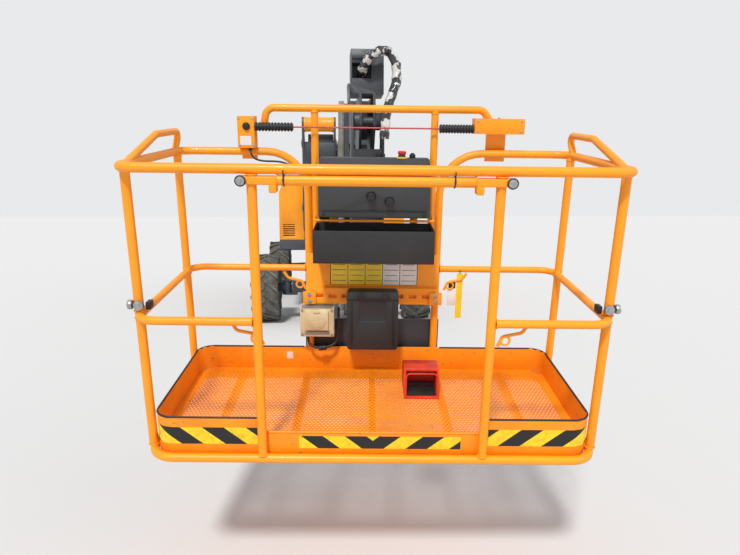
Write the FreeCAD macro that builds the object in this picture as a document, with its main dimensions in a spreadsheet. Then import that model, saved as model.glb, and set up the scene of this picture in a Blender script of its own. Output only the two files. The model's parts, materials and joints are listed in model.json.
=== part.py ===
import FreeCAD, Part
import math
import os
import re

import Sketcher
from FreeCAD import Placement, Rotation, Vector

# Articulating boom lift, in millimetres. X points to the right of someone facing the basket from
# the front, Y from the basket to the tail, Z up. Places are given from the slew axis on the
# ground, and slewY carries them to the part's own origin, under the middle of the machine.
os.makedirs("parts", exist_ok=True)
doc = FreeCAD.newDocument("BoomLift")

driving = {
    # Whole machine
    "slewY": 2881.4,
    "pinClear": 0.05,
    "sideGap": 6,
    "seatGap": 0.3,
    # Wheels and axles
    "wheelBase": 2600,
    "trackWidth": 2030,
    "tyreRadius": 460,
    "tyreWidth": 350,
    "lugHeight": 26,
    "lugWidth": 46,
    "rimRadius": 262,
    "rimWidth": 290,
    "wheelSides": 32,
    "castSides": 14,
    "lugCount": 16,
    "lugLean": 42,
    "sideBulge": 25,
    "shoulderDrop": 16,
    "rimWall": 14,
    "discThick": 20,
    "discDish": 30,
    "capReach": 48,
    "spindleRadius": 48,
    "hubRadius": 105,
    "hubLength": 150,
    "kingpinX": 740,
    "kingpinRadius": 26,
    "axleHeight": 150,
    "axleDepth": 150,
    "yokePlate": 28,
    "yokeReach": 70,
    "yokeHalf": 60,
    "pinEase": 1,
    "bossRadius": 62,
    "bossHalf": 72,
    "axleTaper": 14,
    "saddleHalf": 210,
    "diffRadius": 110,
    "diffLength": 240,
    "spindleLength": 165,
    "discInset": 0,
    # Chassis and slew ring
    "noseRun": 340,
    "chassisWidth": 960,
    "chassisTop": 790,
    "chassisNose": 670,
    "chassisBelly": 400,
    "axleRoof": 575,
    "endPlateFoot": 290,
    "endPlateThick": 36,
    "ringOuter": 505,
    "ringInner": 425,
    "ringTop": 925,
    "lugPlate": 25,
    "lugReach": 74,
    "lugBore": 21,
    "lugZ": 400,
    "lugX": 385,
    "lugHalf": 46,
    "bellyEase": 60,
    "deckRun": 330,
    "ringSeat": 45,
    "ringLip": 12,
    "panelHalf": 620,
    "panelEdge": 70,
    "panelDepth": 14,
    # Turret
    "deckBottom": 931,
    "deckThick": 26,
    "deckHalf": 900,
    "deckFront": 860,
    "tailRadius": 1560,
    "towerPlate": 30,
    "towerRadius": 118,
    "towerFoot": 240,
    "raceDepth": 66,
    "baseEyeY": 900,
    "baseEyeZ": 1030,
    "baseLug": 20,
    "baseLugFoot": 90,
    "weightWing": 560,
    "weightWingFront": 985,
    "weightHalf": 880,
    "engineX": 600,
    "engineY": 90,
    "deckOverhang": 0,
    "armEye": 70,
    "cylinderPin": 28,
    "ventCount": 7,
    "ventSlot": 12,
    "ventPitch": 26,
    "ventWidth": 170,
    "weightTop": 1620,
    "weightFront": 1190,
    "engineLength": 980,
    "engineWidth": 400,
    "engineHeight": 560,
    "hoodTop": 1940,
    "hoodFoot": 1075,
    "hoodInner": 505,
    "hoodOuter": 870,
    "hoodRightInner": 330,
    "hoodRightOuter": 930,
    "hoodFront": 800,
    "hoodBack": 960,
    "hoodWall": 9,
    "hoodCrown": 190,
    # Folding arms
    "armX": -282,
    "armPivotY": 1050,
    "armPivotZ": 1450,
    "armLength": 2800,
    "armSlope": 2,
    "armDepth": 220,
    "armPin": 38,
    "slotPin": 23,
    "linkDrop": 220,
    "linkDepth": 64,
    "linkWidth": 36,
    "linkPin": 22,
    "kneeRise": 800,
    "kneePlate": 25,
    "kneeInner": 366,
    "kneeHalf": 150,
    "kneeSkin": 12,
    "drumAhead": 162,
    "drumAbove": 216,
    "armEyeAlong": 1400,
    "armEyeDrop": 165,
    "eyeRadius": 42,
    "lugThick": 18,
    "armBarrel": 55,
    "armRod": 32,
    "armGlandGap": 231,
    "armRodStart": 301,
    "crownDrop": 480,
    "crownBack": 168,
    "crownAhead": 160,
    "boomEyeBack": 100,
    "liftEyeDrop": 400,
    "liftEyeAhead": 100,
    "drumRadius": 92,
    # Main boom
    "boomX": 30,
    "boomLength": 6250,
    "boomTail": 110,
    "boomWidth": 190,
    "boomDepth": 300,
    "boomWall": 8,
    "flyWidth": 150,
    "flyDepth": 250,
    "flyReach": 350,
    "flyLength": 5150,
    "boomPin": 36,
    "collarLength": 170,
    "collarRise": 14,
    "boomTailSolid": 330,
    "boomEyeAlong": 1350,
    "boomEyeDrop": 205,
    "boomBarrel": 50,
    "boomRod": 30,
    "boomGlandGap": 224,
    "boomRodStart": 274,
    "flyEndPlate": 22,
    # Jib
    "jibAhead": 510,
    "jibPivotZ": 2080,
    "jibLength": 1245,
    "jibTilt": 9,
    "jibWidth": 188,
    "jibDepth": 180,
    "jibWall": 12,
    "jibPin": 26,
    "headTop": 2480,
    "headBlockBase": 2232,
    "headBlockAhead": 20,
    "headBlockDepth": 170,
    "jibBossRadius": 50,
    "jibEyeAlong": 1000,
    "jibEyeBack": 170,
    "jibBaseReach": 286,
    "jibBaseAngle": 127,
    "jibBarrel": 26,
    "jibRod": 15,
    "jibGlandGap": 96,
    "jibRodStart": 66,
    "jibEyeWidth": 40,
    "jibEyePin": 16,
    "jibEyeRadius": 30,
    "hoseHoleLeft": 87,
    "hoseHoleRight": 22,
    "hoseHoleLow": 2318,
    "hoseHoleHigh": 2404,
    "hoseHoleDepth": 90.6,
    "clampBarZ": 2436,
    "clampBarHigh": 20,
    "clampBarThick": 12,
    "tiePlate": 14,
    "tiePin": 14,
    "tieEyeRadius": 28,
    "tieEyeWidth": 30,
    "levelReach": 230,
    "levelPin": 24,
    "yokeBlockNear": 132,
    "yokeBlockFar": 168,
    "yokeHalfHigh": 52,
    "yokeBossRadius": 56,
    "earThick": 16,
    "earInner": 50,
    "levelBoss": 44,
    "swivelLift": 26,
    "swivelPin": 36,
    "headPlate": 14,
    "headGap": 64,
    "tieRadius": 19,
    "tieX": -120,
    "tieOffset": 90,
    "tieAngle": 61,
    # Basket
    "basketX": -14.6,
    "basketAhead": 928,
    "basketZ": 675,
    "basketYaw": -4,
    "swivelBack": 640,
    "swivelRadius": 92,
    "swivelHeight": 250,
    "basketWidth": 1760,
    "basketDepth": 760,
    "railRadius": 18,
    "railTop": 1125,
    "railMid": 570,
    "railBend": 72,
    "postBend": 190,
    "railOut": 20,
    "postOut": 10,
    "basketCorner": 95,
    "gripRise": 88,
    "gripFront": 270,
    "gripBack": 305,
    "gripLean": 350,
    "gripOver": 90,
    "bracketPlate": 12,
    "bracketHalf": 96,
    "bracketRise": 300,
    "bracketWide": 335,
    "floorRise": 44,
    "floorBar": 6,
    "toeFront": 105,
    "toeRise": 166,
    "toeThick": 5,
    "floorThick": 6,
    "gatePost": 430,
    "backPost": 310,
    "gateBarRise": 1087,
    "gateBarRadius": 19,
    "gateSleeveHigh": 28,
    "gateSleeveHalf": 25,
    "gateSleeveIn": 88,
    "gateSleeveOut": 42,
    "gateTabWide": 27,
    "gateTabDrop": 42,
    "rollerRadius": 19,
    "rollerThick": 16,
    "hoopHalf": 510,
    "hoopRise": 1320,
    "guardBarRise": 1237,
    "guardBarRadius": 21,
    "bellowsFold": 5,
    "hoopRadius": 17,
    "leftBoxU": -580,
    "leftBoxWide": 78,
    "leftBoxHigh": 139,
    "leftBoxDrop": 24,
    "leftFootWide": 70,
    "rightBoxU": 562,
    "rightBoxWide": 228,
    "rightBoxHigh": 67,
    "rightBoxDrop": -13,
    "rightFootWide": 90,
    "boxDepth": 74,
    "boxAhead": 15,
    "bellowsLeft": 172,
    "bellowsRight": 156,
    "bellowsCount": 6,
    "barSides": 12,
    "bendSteps": 3,
    "bendShare": 0.45,
    "hoseSides": 8,
    "redCable": 4,
    "consoleHalf": 248,
    "consoleLow": 853,
    "consoleHigh": 1107,
    "consoleDepth": 170,
    "consoleLean": 60,
    "knobRadius": 17,
    "knobLevel": 952,
    "trayHalf": 272,
    "trayLow": 650,
    "trayHigh": 800,
    "trayDepth": 200,
    "trayWall": 4,
    "panelLow": 484,
    "panelHigh": 648,
    "panelHalfWide": 322,
    "strapX": 190,
    "slotBeamHigh": 80,
    "slotBeamDeep": 40,
    "bookHalf": 123,
    "bookLow": 196,
    "bookHigh": 486,
    "bookDeep": 74,
    "socketU": -268,
    "socketWide": 165,
    "socketHigh": 150,
    "socketLow": 243,
    "socketDeep": 70,
    "pedalU": 226,
    "pedalV": 120,
    "pedalWide": 160,
    "pedalLong": 190,
    "pedalHigh": 130,
    "hoseRadius": 30,
    "lineRadius": 12,
}

sheet = doc.addObject("Spreadsheet::Sheet", "Sizes")
for row, (alias, number) in enumerate(driving.items(), 1):
    sheet.set("A%d" % row, alias)
    sheet.set("B%d" % row, str(number))
    sheet.setAlias("B%d" % row, alias)
derived = {
    "jibPivotY": "armPivotY + boomEyeBack - boomLength - flyReach - jibAhead",
    "basketY": "jibPivotY - basketAhead",
}
for row, (alias, formula) in enumerate(derived.items(), len(driving) + 1):
    sheet.set("A%d" % row, alias)
    sheet.set("B%d" % row, "=" + formula)
    sheet.setAlias("B%d" % row, alias)
    doc.recompute()
aliases = list(driving) + list(derived)


def linked(expression):
    """The expression with each size's name pointing at its cell."""
    return re.sub(r"[A-Za-z]\w*", lambda m: "Sizes." + m[0] if m[0] in aliases else m[0],
                  str(expression))


def value(expression):
    """The expression's number, from the sheet."""
    return float(sheet.evalExpression(linked(expression)))


def bind(thing, target, expression):
    thing.setExpression(target, linked(expression))


subParts = []


def place(thing, x=0, y=0, z=0, rotation=None):
    """Stand a sub-part at a place given from the slew axis on the ground."""
    if rotation is not None:
        thing.Placement = Placement(Vector(), rotation)
    bind(thing, "Placement.Base.x", x)
    bind(thing, "Placement.Base.y", "slewY + (%s)" % y)
    bind(thing, "Placement.Base.z", z)
    subParts.append(thing)
    return thing


def frontUp(degrees):
    """A turn about the machine's cross axis that lifts what lies in front."""
    return Rotation(Vector(-1, 0, 0), degrees)


# Bodies, sketches and features

def newBody(name):
    body = doc.addObject("PartDesign::Body", name)
    body.Label = name
    return body


normalSign = {"XY_Plane": 1, "XZ_Plane": -1, "YZ_Plane": 1}


def sketchOn(body, role, offset="0"):
    """A sketch parallel to one of the body's own origin planes, moved along that plane's axis."""
    sketch = body.newObject("Sketcher::SketchObject", body.Name + "Sketch")
    plane = next(f for f in body.Origin.OriginFeatures if f.Role == role)
    sketch.AttachmentSupport = (plane, "")
    sketch.MapMode = "FlatFace"
    bind(sketch, "AttachmentOffset.Base.z", "%d * (%s)" % (normalSign[role], offset))
    return sketch


def fixPoint(sketch, curve, end, x, y):
    """Hold a curve's point at x, y from the sketch's origin."""
    for kind, expression in (("DistanceX", x), ("DistanceY", y)):
        index = sketch.addConstraint(
            Sketcher.Constraint(kind, -1, 1, curve, end, value(expression)))
        bind(sketch, "Constraints[%d]" % index, expression)


def outline(sketch, points):
    """A closed outline through points whose coordinates are expressions."""
    spots = [Vector(value(x), value(y), 0) for x, y in points]
    first = sketch.GeometryCount
    count = len(spots)
    for i, spot in enumerate(spots):
        sketch.addGeometry(Part.LineSegment(spot, spots[(i + 1) % count]))
    for i, (x, y) in enumerate(points):
        before = first + (i - 1) % count
        sketch.addConstraint(Sketcher.Constraint("Coincident", before, 2, first + i, 1))
        fixPoint(sketch, first + i, 1, x, y)


def circle(sketch, x, y, radius):
    round_ = Part.Circle(Vector(value(x), value(y), 0), Vector(0, 0, 1), value(radius))
    index = sketch.addGeometry(round_)
    fixPoint(sketch, index, 3, x, y)
    held = sketch.addConstraint(Sketcher.Constraint("Radius", index, value(radius)))
    bind(sketch, "Constraints[%d]" % held, radius)


def extrude(body, kind, role, loops, width, offset="0"):
    """Pad or pocket closed loops, half the width to each side of the offset plane."""
    sketch = sketchOn(body, role, offset)
    for loop in loops:
        if len(loop) == 3 and isinstance(loop[0], (str, int, float)):
            circle(sketch, *loop)
        else:
            outline(sketch, loop)
    feature = body.newObject("PartDesign::" + kind, body.Name + kind)
    feature.Profile = sketch
    feature.Midplane = True
    bind(feature, "Length", width)
    doc.recompute()
    return feature


def pad(body, role, loops, width, offset="0"):
    return extrude(body, "Pad", role, loops, width, offset)


def pocket(body, role, loops, width, offset="0"):
    before = body.Shape.Volume
    feature = extrude(body, "Pocket", role, loops, width, offset)
    if body.Shape.Volume > before - 1:
        raise ValueError("a pocket of %s cuts nothing" % body.Label)
    return feature


def revolve(body, role, points, axis="H_Axis"):
    """Turn an outline all the way round an axis of its sketch."""
    sketch = sketchOn(body, role)
    outline(sketch, points)
    feature = body.newObject("PartDesign::Revolution", body.Name + "Revolution")
    feature.Profile = sketch
    feature.ReferenceAxis = (sketch, [axis])
    feature.Angle = 360
    doc.recompute()
    return feature


def roundEdges(body, radius, chosen):
    """Fillet the edges that the test chooses."""
    solid = body.Tip
    names = ["Edge%d" % (i + 1) for i, edge in enumerate(body.Shape.Edges) if chosen(edge)]
    feature = body.newObject("PartDesign::Fillet", body.Name + "Fillet")
    feature.Base = (solid, names)
    bind(feature, "Radius", radius)
    doc.recompute()
    return feature


def facets(x, y, radius, sides=None):
    """A cast or turned boss, whose round is cut in flats."""
    sides = sides or int(driving["castSides"])
    turns = [2 * math.pi * (k + 0.5) / sides for k in range(sides)]
    return [("%s + (%s) * %.6f" % (x, radius, math.cos(a)),
             "%s + (%s) * %.6f" % (y, radius, math.sin(a))) for a in turns]


def rect(left, right, low, high):
    """A rectangle's corners, for a sketch."""
    return [(left, low), (right, low), (right, high), (left, high)]


def mirrored(points):
    """The same outline on the other side of the sketch's upright axis."""
    return [("-(%s)" % x, y) for x, y in reversed(points)]


# Chassis: a closed box that steps up over both axles, with an end plate and lugs at each end

chassis = newBody("chassis_frame")
nose, roofEdge = "(wheelBase / 2 + noseRun)", "wheelBase / 2 - axleDepth / 2 - bellyEase"
shell = [
    ("-(%s)" % nose, "endPlateFoot"),
    ("-(%s) + endPlateThick" % nose, "endPlateFoot"),
    ("-(%s) + endPlateThick" % nose, "axleRoof"),
    ("-(%s)" % roofEdge, "axleRoof"),
    ("-(%s) + bellyEase" % roofEdge, "chassisBelly"),
]
shell += mirrored(shell)
shell += [
    (nose, "chassisNose"),
    ("ringOuter + deckRun", "chassisTop"),
    ("-ringOuter - deckRun", "chassisTop"),
    ("-(%s)" % nose, "chassisNose"),
]
pad(chassis, "YZ_Plane", [shell], "chassisWidth")
pad(chassis, "XY_Plane", [facets("0", "0", "ringOuter", 28)], "ringSeat", "chassisTop + ringSeat / 2")
panel = rect("-panelHalf", "panelHalf", "chassisBelly + panelEdge", "chassisTop - panelEdge")
for side in ("-", ""):
    pocket(chassis, "YZ_Plane", [panel], "panelDepth * 2", side + "chassisWidth / 2")
for side in ("-", ""):
    for end in ("-", ""):
        middle = side + "lugX"
        tab = [
            (middle + " - lugHalf * 1.5", "%s(%s - 1)" % (end, nose)),
            (middle + " - lugHalf", "%s(%s + lugReach / 2)" % (end, nose)),
            (middle + " - lugHalf / 2", "%s(%s + lugReach)" % (end, nose)),
            (middle + " + lugHalf / 2", "%s(%s + lugReach)" % (end, nose)),
            (middle + " + lugHalf", "%s(%s + lugReach / 2)" % (end, nose)),
            (middle + " + lugHalf * 1.5", "%s(%s - 1)" % (end, nose)),
        ]
        bore = (middle, "%s(%s + lugReach / 2)" % (end, nose), "lugBore")
        pad(chassis, "XY_Plane", [tab], "lugPlate", "lugZ")
        pocket(chassis, "XY_Plane", [bore], "lugPlate * 2", "lugZ")
place(chassis)

ring = newBody("slew_ring")
pad(ring, "XY_Plane", [facets("0", "0", "ringOuter - ringLip", 28), ("0", "0", "ringInner")],
    "ringTop - chassisTop - ringSeat", "(ringTop + chassisTop + ringSeat) / 2")
place(ring)


# Axles: the front one ends in yokes for the kingpins, the rear one in plain spindles

def axleBeam(name, y, reach):
    beam = newBody(name)
    half = reach
    arch = [
        ("-(%s)" % half, "-axleHeight / 2 + axleTaper"),
        ("-(%s) / 2" % half, "-axleHeight / 2"),
        ("(%s) / 2" % half, "-axleHeight / 2"),
        (half, "-axleHeight / 2 + axleTaper"),
        (half, "axleHeight / 2 - axleTaper"),
        ("(%s) / 2" % half, "axleHeight / 2"),
        ("-(%s) / 2" % half, "axleHeight / 2"),
        ("-(%s)" % half, "axleHeight / 2 - axleTaper"),
    ]
    pad(beam, "XZ_Plane", [arch], "axleDepth")
    saddle = "axleRoof - tyreRadius - axleHeight / 2"
    pad(beam, "XY_Plane", [rect("-saddleHalf", "saddleHalf", "-axleDepth / 2", "axleDepth / 2")],
        saddle, "axleHeight / 2 + (%s) / 2" % saddle)
    pad(beam, "YZ_Plane", [facets("0", "0", "diffRadius")], "diffLength")
    place(beam, 0, y, "tyreRadius")
    return beam


front = axleBeam("front_axle", "-wheelBase / 2", "kingpinX - yokeReach")
for side in ("-", ""):
    for lift in ("-", ""):
        prong = [
            ("%s(kingpinX - yokeReach * 2)" % side, "-yokeHalf"),
            ("%skingpinX" % side, "-yokeHalf"),
            ("%s(kingpinX + yokeHalf)" % side, "-yokeHalf / 2"),
            ("%s(kingpinX + yokeHalf)" % side, "yokeHalf / 2"),
            ("%skingpinX" % side, "yokeHalf"),
            ("%s(kingpinX - yokeReach * 2)" % side, "yokeHalf"),
        ]
        level = "%s(bossHalf + pinEase + yokePlate / 2)" % lift
        pad(front, "XY_Plane", [prong], "yokePlate", level)
        pocket(front, "XY_Plane", [("%skingpinX" % side, "0", "kingpinRadius + pinClear")],
               "yokePlate * 1.5", level)
    web = rect("kingpinX - yokeReach * 2", "kingpinX - yokeReach",
               "-bossHalf - pinEase - yokePlate / 2", "bossHalf + pinEase + yokePlate / 2")
    pad(front, "XZ_Plane", [web if side == "" else mirrored(web)], "axleDepth")

rear = axleBeam("rear_axle", "wheelBase / 2", "trackWidth / 2 - hubLength + discInset")
hubInner = "trackWidth / 2 - hubLength + discInset"
for side in ("-", ""):
    pad(rear, "YZ_Plane", [("0", "0", "spindleRadius")], "spindleLength",
        "%s(%s + spindleLength / 2)" % (side, hubInner))

for side, name in (("-", "left"), ("", "right")):
    knuckle = newBody("steering_knuckle_" + name)
    pad(knuckle, "XY_Plane", [facets("0", "0", "bossRadius")], "bossHalf * 2")
    pad(knuckle, "XY_Plane", [("0", "0", "kingpinRadius")],
        "(bossHalf + pinEase + yokePlate) * 2")
    flange = "%s - kingpinX" % hubInner
    pad(knuckle, "YZ_Plane", [facets("0", "0", "bossRadius - 4")], flange,
        "%s(%s) / 2" % (side, flange))
    pad(knuckle, "YZ_Plane", [("0", "0", "spindleRadius")], "spindleLength",
        "%s(%s + spindleLength / 2)" % (side, flange))
    place(knuckle, side + "kingpinX", "-wheelBase / 2", "tyreRadius")


# Wheels: a tyre with slanted lugs on a dished rim, both cut in as many flats as a turn holds

def skin(rings, closed=False):
    """A solid from rings of as many corners, joined in flat facets; closed joins last to first."""
    faces, sides = [], len(rings[0])
    onward = rings[1:] + rings[:1] if closed else rings[1:]
    for here, there in zip(rings, onward):
        for k in range(sides):
            after = (k + 1) % sides
            corners = [here[k], here[after], there[after], there[k], here[k]]
            faces.append(Part.Face(Part.makePolygon(corners)))
    if not closed:
        faces += [Part.Face(Part.makePolygon(ring + ring[:1])) for ring in (rings[0], rings[-1])]
    solid = Part.Solid(Part.Shell(faces))
    if solid.Volume < 0:
        solid.reverse()
    return solid


def ringsAbout(section, sides):
    """Rings about the X axis, one for each (x, radius) corner of a section."""
    turns = [2 * math.pi * (k + 0.5) / sides for k in range(sides)]
    return [[Vector(x, radius * math.sin(a), radius * math.cos(a)) for a in turns]
            for x, radius in section]


def tyreShape(size, hand):
    """The tyre about its own centre; hand is 1 or -1 and leans the lugs to suit the side."""
    half, bead = size["tyreWidth"] / 2, size["rimRadius"]
    tread = size["tyreRadius"] - size["lugHeight"]
    wall = (bead + tread) / 2
    sidewall = [(half - size["sideBulge"], bead), (half, wall),
                (half - size["shoulderDrop"], tread - size["shoulderDrop"])]
    section = [(-x, r) for x, r in sidewall] + [(0, tread)] + sidewall[::-1]
    body = skin(ringsAbout(section, int(size["wheelSides"])), True)
    run = half - size["lugWidth"] / 4
    sweep = run * math.tan(math.radians(size["lugLean"]))
    reach = (sweep + size["lugWidth"]) / 2
    top = math.sqrt(size["tyreRadius"] ** 2 - reach ** 2)
    foot = tread - 2 * size["shoulderDrop"] - size["lugHeight"]
    lugs = []
    for side in (-1, 1):
        inner, outer = -side * size["lugWidth"] / 4, side * (half - 2)
        corners = [Vector(inner, -reach, foot), Vector(inner, -reach + size["lugWidth"], foot),
                   Vector(outer, reach, foot), Vector(outer, reach - size["lugWidth"], foot)]
        lug = Part.Face(Part.makePolygon(corners + corners[:1])).extrude(Vector(0, 0, top - foot))
        for k in range(int(size["lugCount"])):
            turned = lug.copy()
            turn = (k + (0.5 if side > 0 else 0)) * 360 / size["lugCount"]
            turned.rotate(Vector(), Vector(1, 0, 0), hand * turn)
            lugs.append(turned)
    whole = body.fuse(lugs).removeSplitter()
    if hand < 0:
        whole = whole.mirror(Vector(), Vector(0, 1, 0))
    return whole.Solids[0]


def rimShape(size, hand):
    """The rim and hub about the tyre's centre; hand is 1 where its dished face points to +X."""
    half, bead, wall = size["rimWidth"] / 2, size["rimRadius"], size["rimWall"]
    lip = size["tyreWidth"] / 2 - size["sideBulge"] + size["seatGap"]
    face, back = size["discThick"], 0
    section = [
        (-half, bead), (lip, bead), (lip + wall / 2, bead + wall / 2), (lip + wall / 2, bead - wall),
        (face + size["discDish"], bead - 2 * wall), (face, size["hubRadius"] - 5),
        (back, size["hubRadius"] - 5), (back, bead - wall), (-half, bead - wall),
    ]
    ring = skin(ringsAbout(section, int(size["wheelSides"])), True)
    start, cast = -size["hubLength"] + size["pinEase"], int(size["castSides"])
    hub = skin(ringsAbout([(start, size["hubRadius"]), (face, size["hubRadius"])], cast))
    capRadius = size["spindleRadius"] + size["rimWall"]
    cap = skin(ringsAbout([(0, capRadius), (size["capReach"], capRadius)], cast))
    end = size["spindleLength"] - size["hubLength"] + size["pinEase"]
    bore = Part.makeCylinder(size["spindleRadius"] + size["pinClear"], end - start,
                             Vector(start, 0, 0), Vector(1, 0, 0))
    whole = ring.fuse([hub, cap]).cut(bore).removeSplitter()
    if hand < 0:
        whole = whole.mirror(Vector(), Vector(1, 0, 0))
    return whole.Solids[0]


def shaped(name, shape):
    thing = doc.addObject("Part::Feature", name)
    thing.Label = name
    thing.Shape = shape
    return thing


size = {alias: float(sheet.get(alias)) for alias in aliases}
for sideName, side, hand in (("left", "-", -1), ("right", "", 1)):
    tyre, rim = tyreShape(size, hand), rimShape(size, hand)
    for endName, end in (("front", "-"), ("rear", "")):
        for kind, shape in (("tyre", tyre), ("rim", rim)):
            wheelPiece = shaped("%s_%s_%s" % (kind, endName, sideName), shape)
            place(wheelPiece, side + "trackWidth / 2", end + "wheelBase / 2", "tyreRadius")


# Turret: deck, inner race, the tower that carries the arms, firewalls and sills for the hoods

turret = newBody("turret_frame")
deckTop = "deckBottom + deckThick"
deck = rect("-deckHalf", "deckHalf", "-deckFront", "tailRadius")
pad(turret, "XY_Plane", [deck], "deckThick", "deckBottom + deckThick / 2")
pocket(turret, "XY_Plane", [("0", "0", "tailRadius + deckHalf"), ("0", "0", "tailRadius")],
       "deckThick * 2", "deckBottom + deckThick / 2")
pad(turret, "XY_Plane", [("0", "0", "ringInner - pinClear")], "raceDepth",
    "deckBottom - raceDepth / 2")
towerSide = [
    ("towerFoot", deckTop),
    ("weightFront - sideGap * 2", deckTop),
    ("weightFront - sideGap * 2", "armPivotZ + towerRadius / 2"),
    ("armPivotY + towerRadius / 2", "armPivotZ + towerRadius"),
    ("armPivotY - towerRadius / 2", "armPivotZ + towerRadius"),
    ("armPivotY - towerRadius * 1.5", "armPivotZ"),
    ("towerFoot", "%s + towerRadius" % deckTop),
]
for side in ("-", "+"):
    pad(turret, "YZ_Plane", [towerSide], "towerPlate",
        "armX %s (kneeInner + towerPlate) / 2" % side)


def steppedPin(body, spot, plate, x):
    """The arm's pin, slimmer in the slot where the link passes beside it."""
    slot = "(linkWidth + sideGap * 2)"
    thick = "(kneeInner - %s + %s / 2)" % (slot, plate)
    slim = "(%s + %s / 2 + 1)" % (slot, plate)
    pad(body, "YZ_Plane", [(*spot, "armPin")], thick, "%s + (%s + %s / 2) / 2" % (x, slot, plate))
    pad(body, "YZ_Plane", [(*spot, "slotPin")], slim,
        "%s - (kneeInner + %s / 2 - %s - 1) / 2" % (x, plate, slot))


steppedPin(turret, ("armPivotY", "armPivotZ"), "towerPlate", "armX")
pad(turret, "YZ_Plane", [("armPivotY", "armPivotZ - linkDrop", "linkPin")],
    "linkWidth + sideGap * 1.5 + towerPlate / 2",
    "armX - kneeInner / 2 + (linkWidth + sideGap * 1.5 - towerPlate / 2) / 2")
armMid = "armX + (linkWidth + sideGap) / 2"
eyeLug = [
    ("baseEyeY - baseLugFoot", deckTop),
    ("baseEyeY + baseLugFoot", deckTop),
    ("baseEyeY + baseLugFoot / 2", "baseEyeZ + baseLugFoot / 2"),
    ("baseEyeY - baseLugFoot / 2", "baseEyeZ + baseLugFoot / 2"),
]
for side in ("-", "+"):
    pad(turret, "YZ_Plane", [eyeLug], "baseLug",
        "%s %s (armEye / 2 + sideGap + baseLug / 2)" % (armMid, side))
pad(turret, "YZ_Plane", [("baseEyeY", "baseEyeZ", "cylinderPin")],
    "armEye + sideGap * 2 + baseLug", armMid)
for sign, inner, outer in (("-", "hoodInner", "hoodOuter"),
                           ("", "hoodRightInner", "hoodRightOuter")):
    wall = rect("-hoodFront", "hoodBack", deckTop, "hoodTop - hoodWall - seatGap")
    pad(turret, "YZ_Plane", [wall], "hoodWall", "%s(%s + hoodWall / 2)" % (sign, inner))
    edge = "%s - deckOverhang" % outer
    sill = rect("-hoodFront", "hoodBack", deckTop, "hoodFoot - seatGap")
    pad(turret, "YZ_Plane", [sill], "hoodWall", "%s(%s - hoodWall / 2)" % (sign, edge))
    across = rect(inner, edge, deckTop, "hoodFoot - seatGap")
    for y in ("-hoodFront + hoodWall / 2", "hoodBack - hoodWall / 2"):
        pad(turret, "XZ_Plane", [mirrored(across) if sign else across], "hoodWall", y)
place(turret)

weight = newBody("counterweight")
castBlock = [
    ("-weightHalf", "weightWingFront"),
    ("-weightWing", "weightWingFront"),
    ("-weightWing", "weightFront"),
]
castBlock += mirrored(castBlock)
castBlock += [("weightHalf", "tailRadius"), ("-weightHalf", "tailRadius")]
castMid = "(%s + weightTop) / 2" % deckTop
pad(weight, "XY_Plane", [castBlock], "weightTop - (%s)" % deckTop, castMid)
pocket(weight, "XY_Plane",
       [("0", "0", "tailRadius + deckHalf"), ("0", "0", "tailRadius - seatGap")],
       "weightTop", castMid)
place(weight)

engine = doc.addObject("Part::Box", "engine_block")
engine.Label = "engine_block"
bind(engine, "Length", "engineWidth")
bind(engine, "Width", "engineLength")
bind(engine, "Height", "engineHeight")
place(engine, "engineX - engineWidth / 2", "engineY - engineLength / 2", deckTop)


def hoodShell(name, sign, inner, outer):
    """A moulded cover, open below and towards the arms, with louvres in its front."""
    hood = newBody(name)
    depth, middle = "(hoodFront + hoodBack)", "(hoodBack - hoodFront) / 2"

    def crowned(inset):
        edge, top = "(%s - %s)" % (outer, inset), "(hoodTop - %s)" % inset
        points = [
            (inner if inset == "0" else inner + " - hoodWall", "hoodFoot" + " - %s" % inset),
            (edge, "hoodFoot" + " - %s" % inset),
            (edge, top + " - hoodCrown"),
            (edge + " - hoodCrown / 4", top + " - hoodCrown / 3"),
            (edge + " - hoodCrown", top),
            (inner if inset == "0" else inner + " - hoodWall", top),
        ]
        return mirrored(points) if sign else points

    pad(hood, "XZ_Plane", [crowned("0")], depth, middle)
    pocket(hood, "XZ_Plane", [crowned("hoodWall")], depth + " - 2 * hoodWall", middle)
    slots = []
    for k in range(int(size["ventCount"])):
        low = "hoodFoot + ventPitch * %d" % (k + 2)
        slot = rect("%s - ventWidth - ventPitch * 2" % outer, "%s - ventPitch * 2" % outer,
                    low, low + " + ventSlot")
        slots.append(mirrored(slot) if sign else slot)
    pocket(hood, "XZ_Plane", slots, "hoodWall * 3", "-hoodFront + hoodWall / 2")
    return place(hood)


hoodShell("hood_left", "-", "hoodInner + hoodWall + seatGap", "hoodOuter")
hoodShell("hood_right", "", "hoodRightInner + hoodWall + seatGap", "hoodRightOuter")


# Folding arms: box beams between side plates, each with a slim link that keeps its knuckle level

slope = value("armSlope")
elbow = ("armPivotY - armLength * cos(armSlope)", "armPivotZ + armLength * sin(armSlope)")
upperFront = (elbow[0], "%s + kneeRise" % elbow[1])
upperRear = ("armPivotY", "%s - armLength * sin(armSlope)" % upperFront[1])
armWidth = "(kneeInner - linkWidth - 3 * sideGap)"
linkX = "armX - kneeInner / 2 + sideGap + linkWidth / 2"


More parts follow.
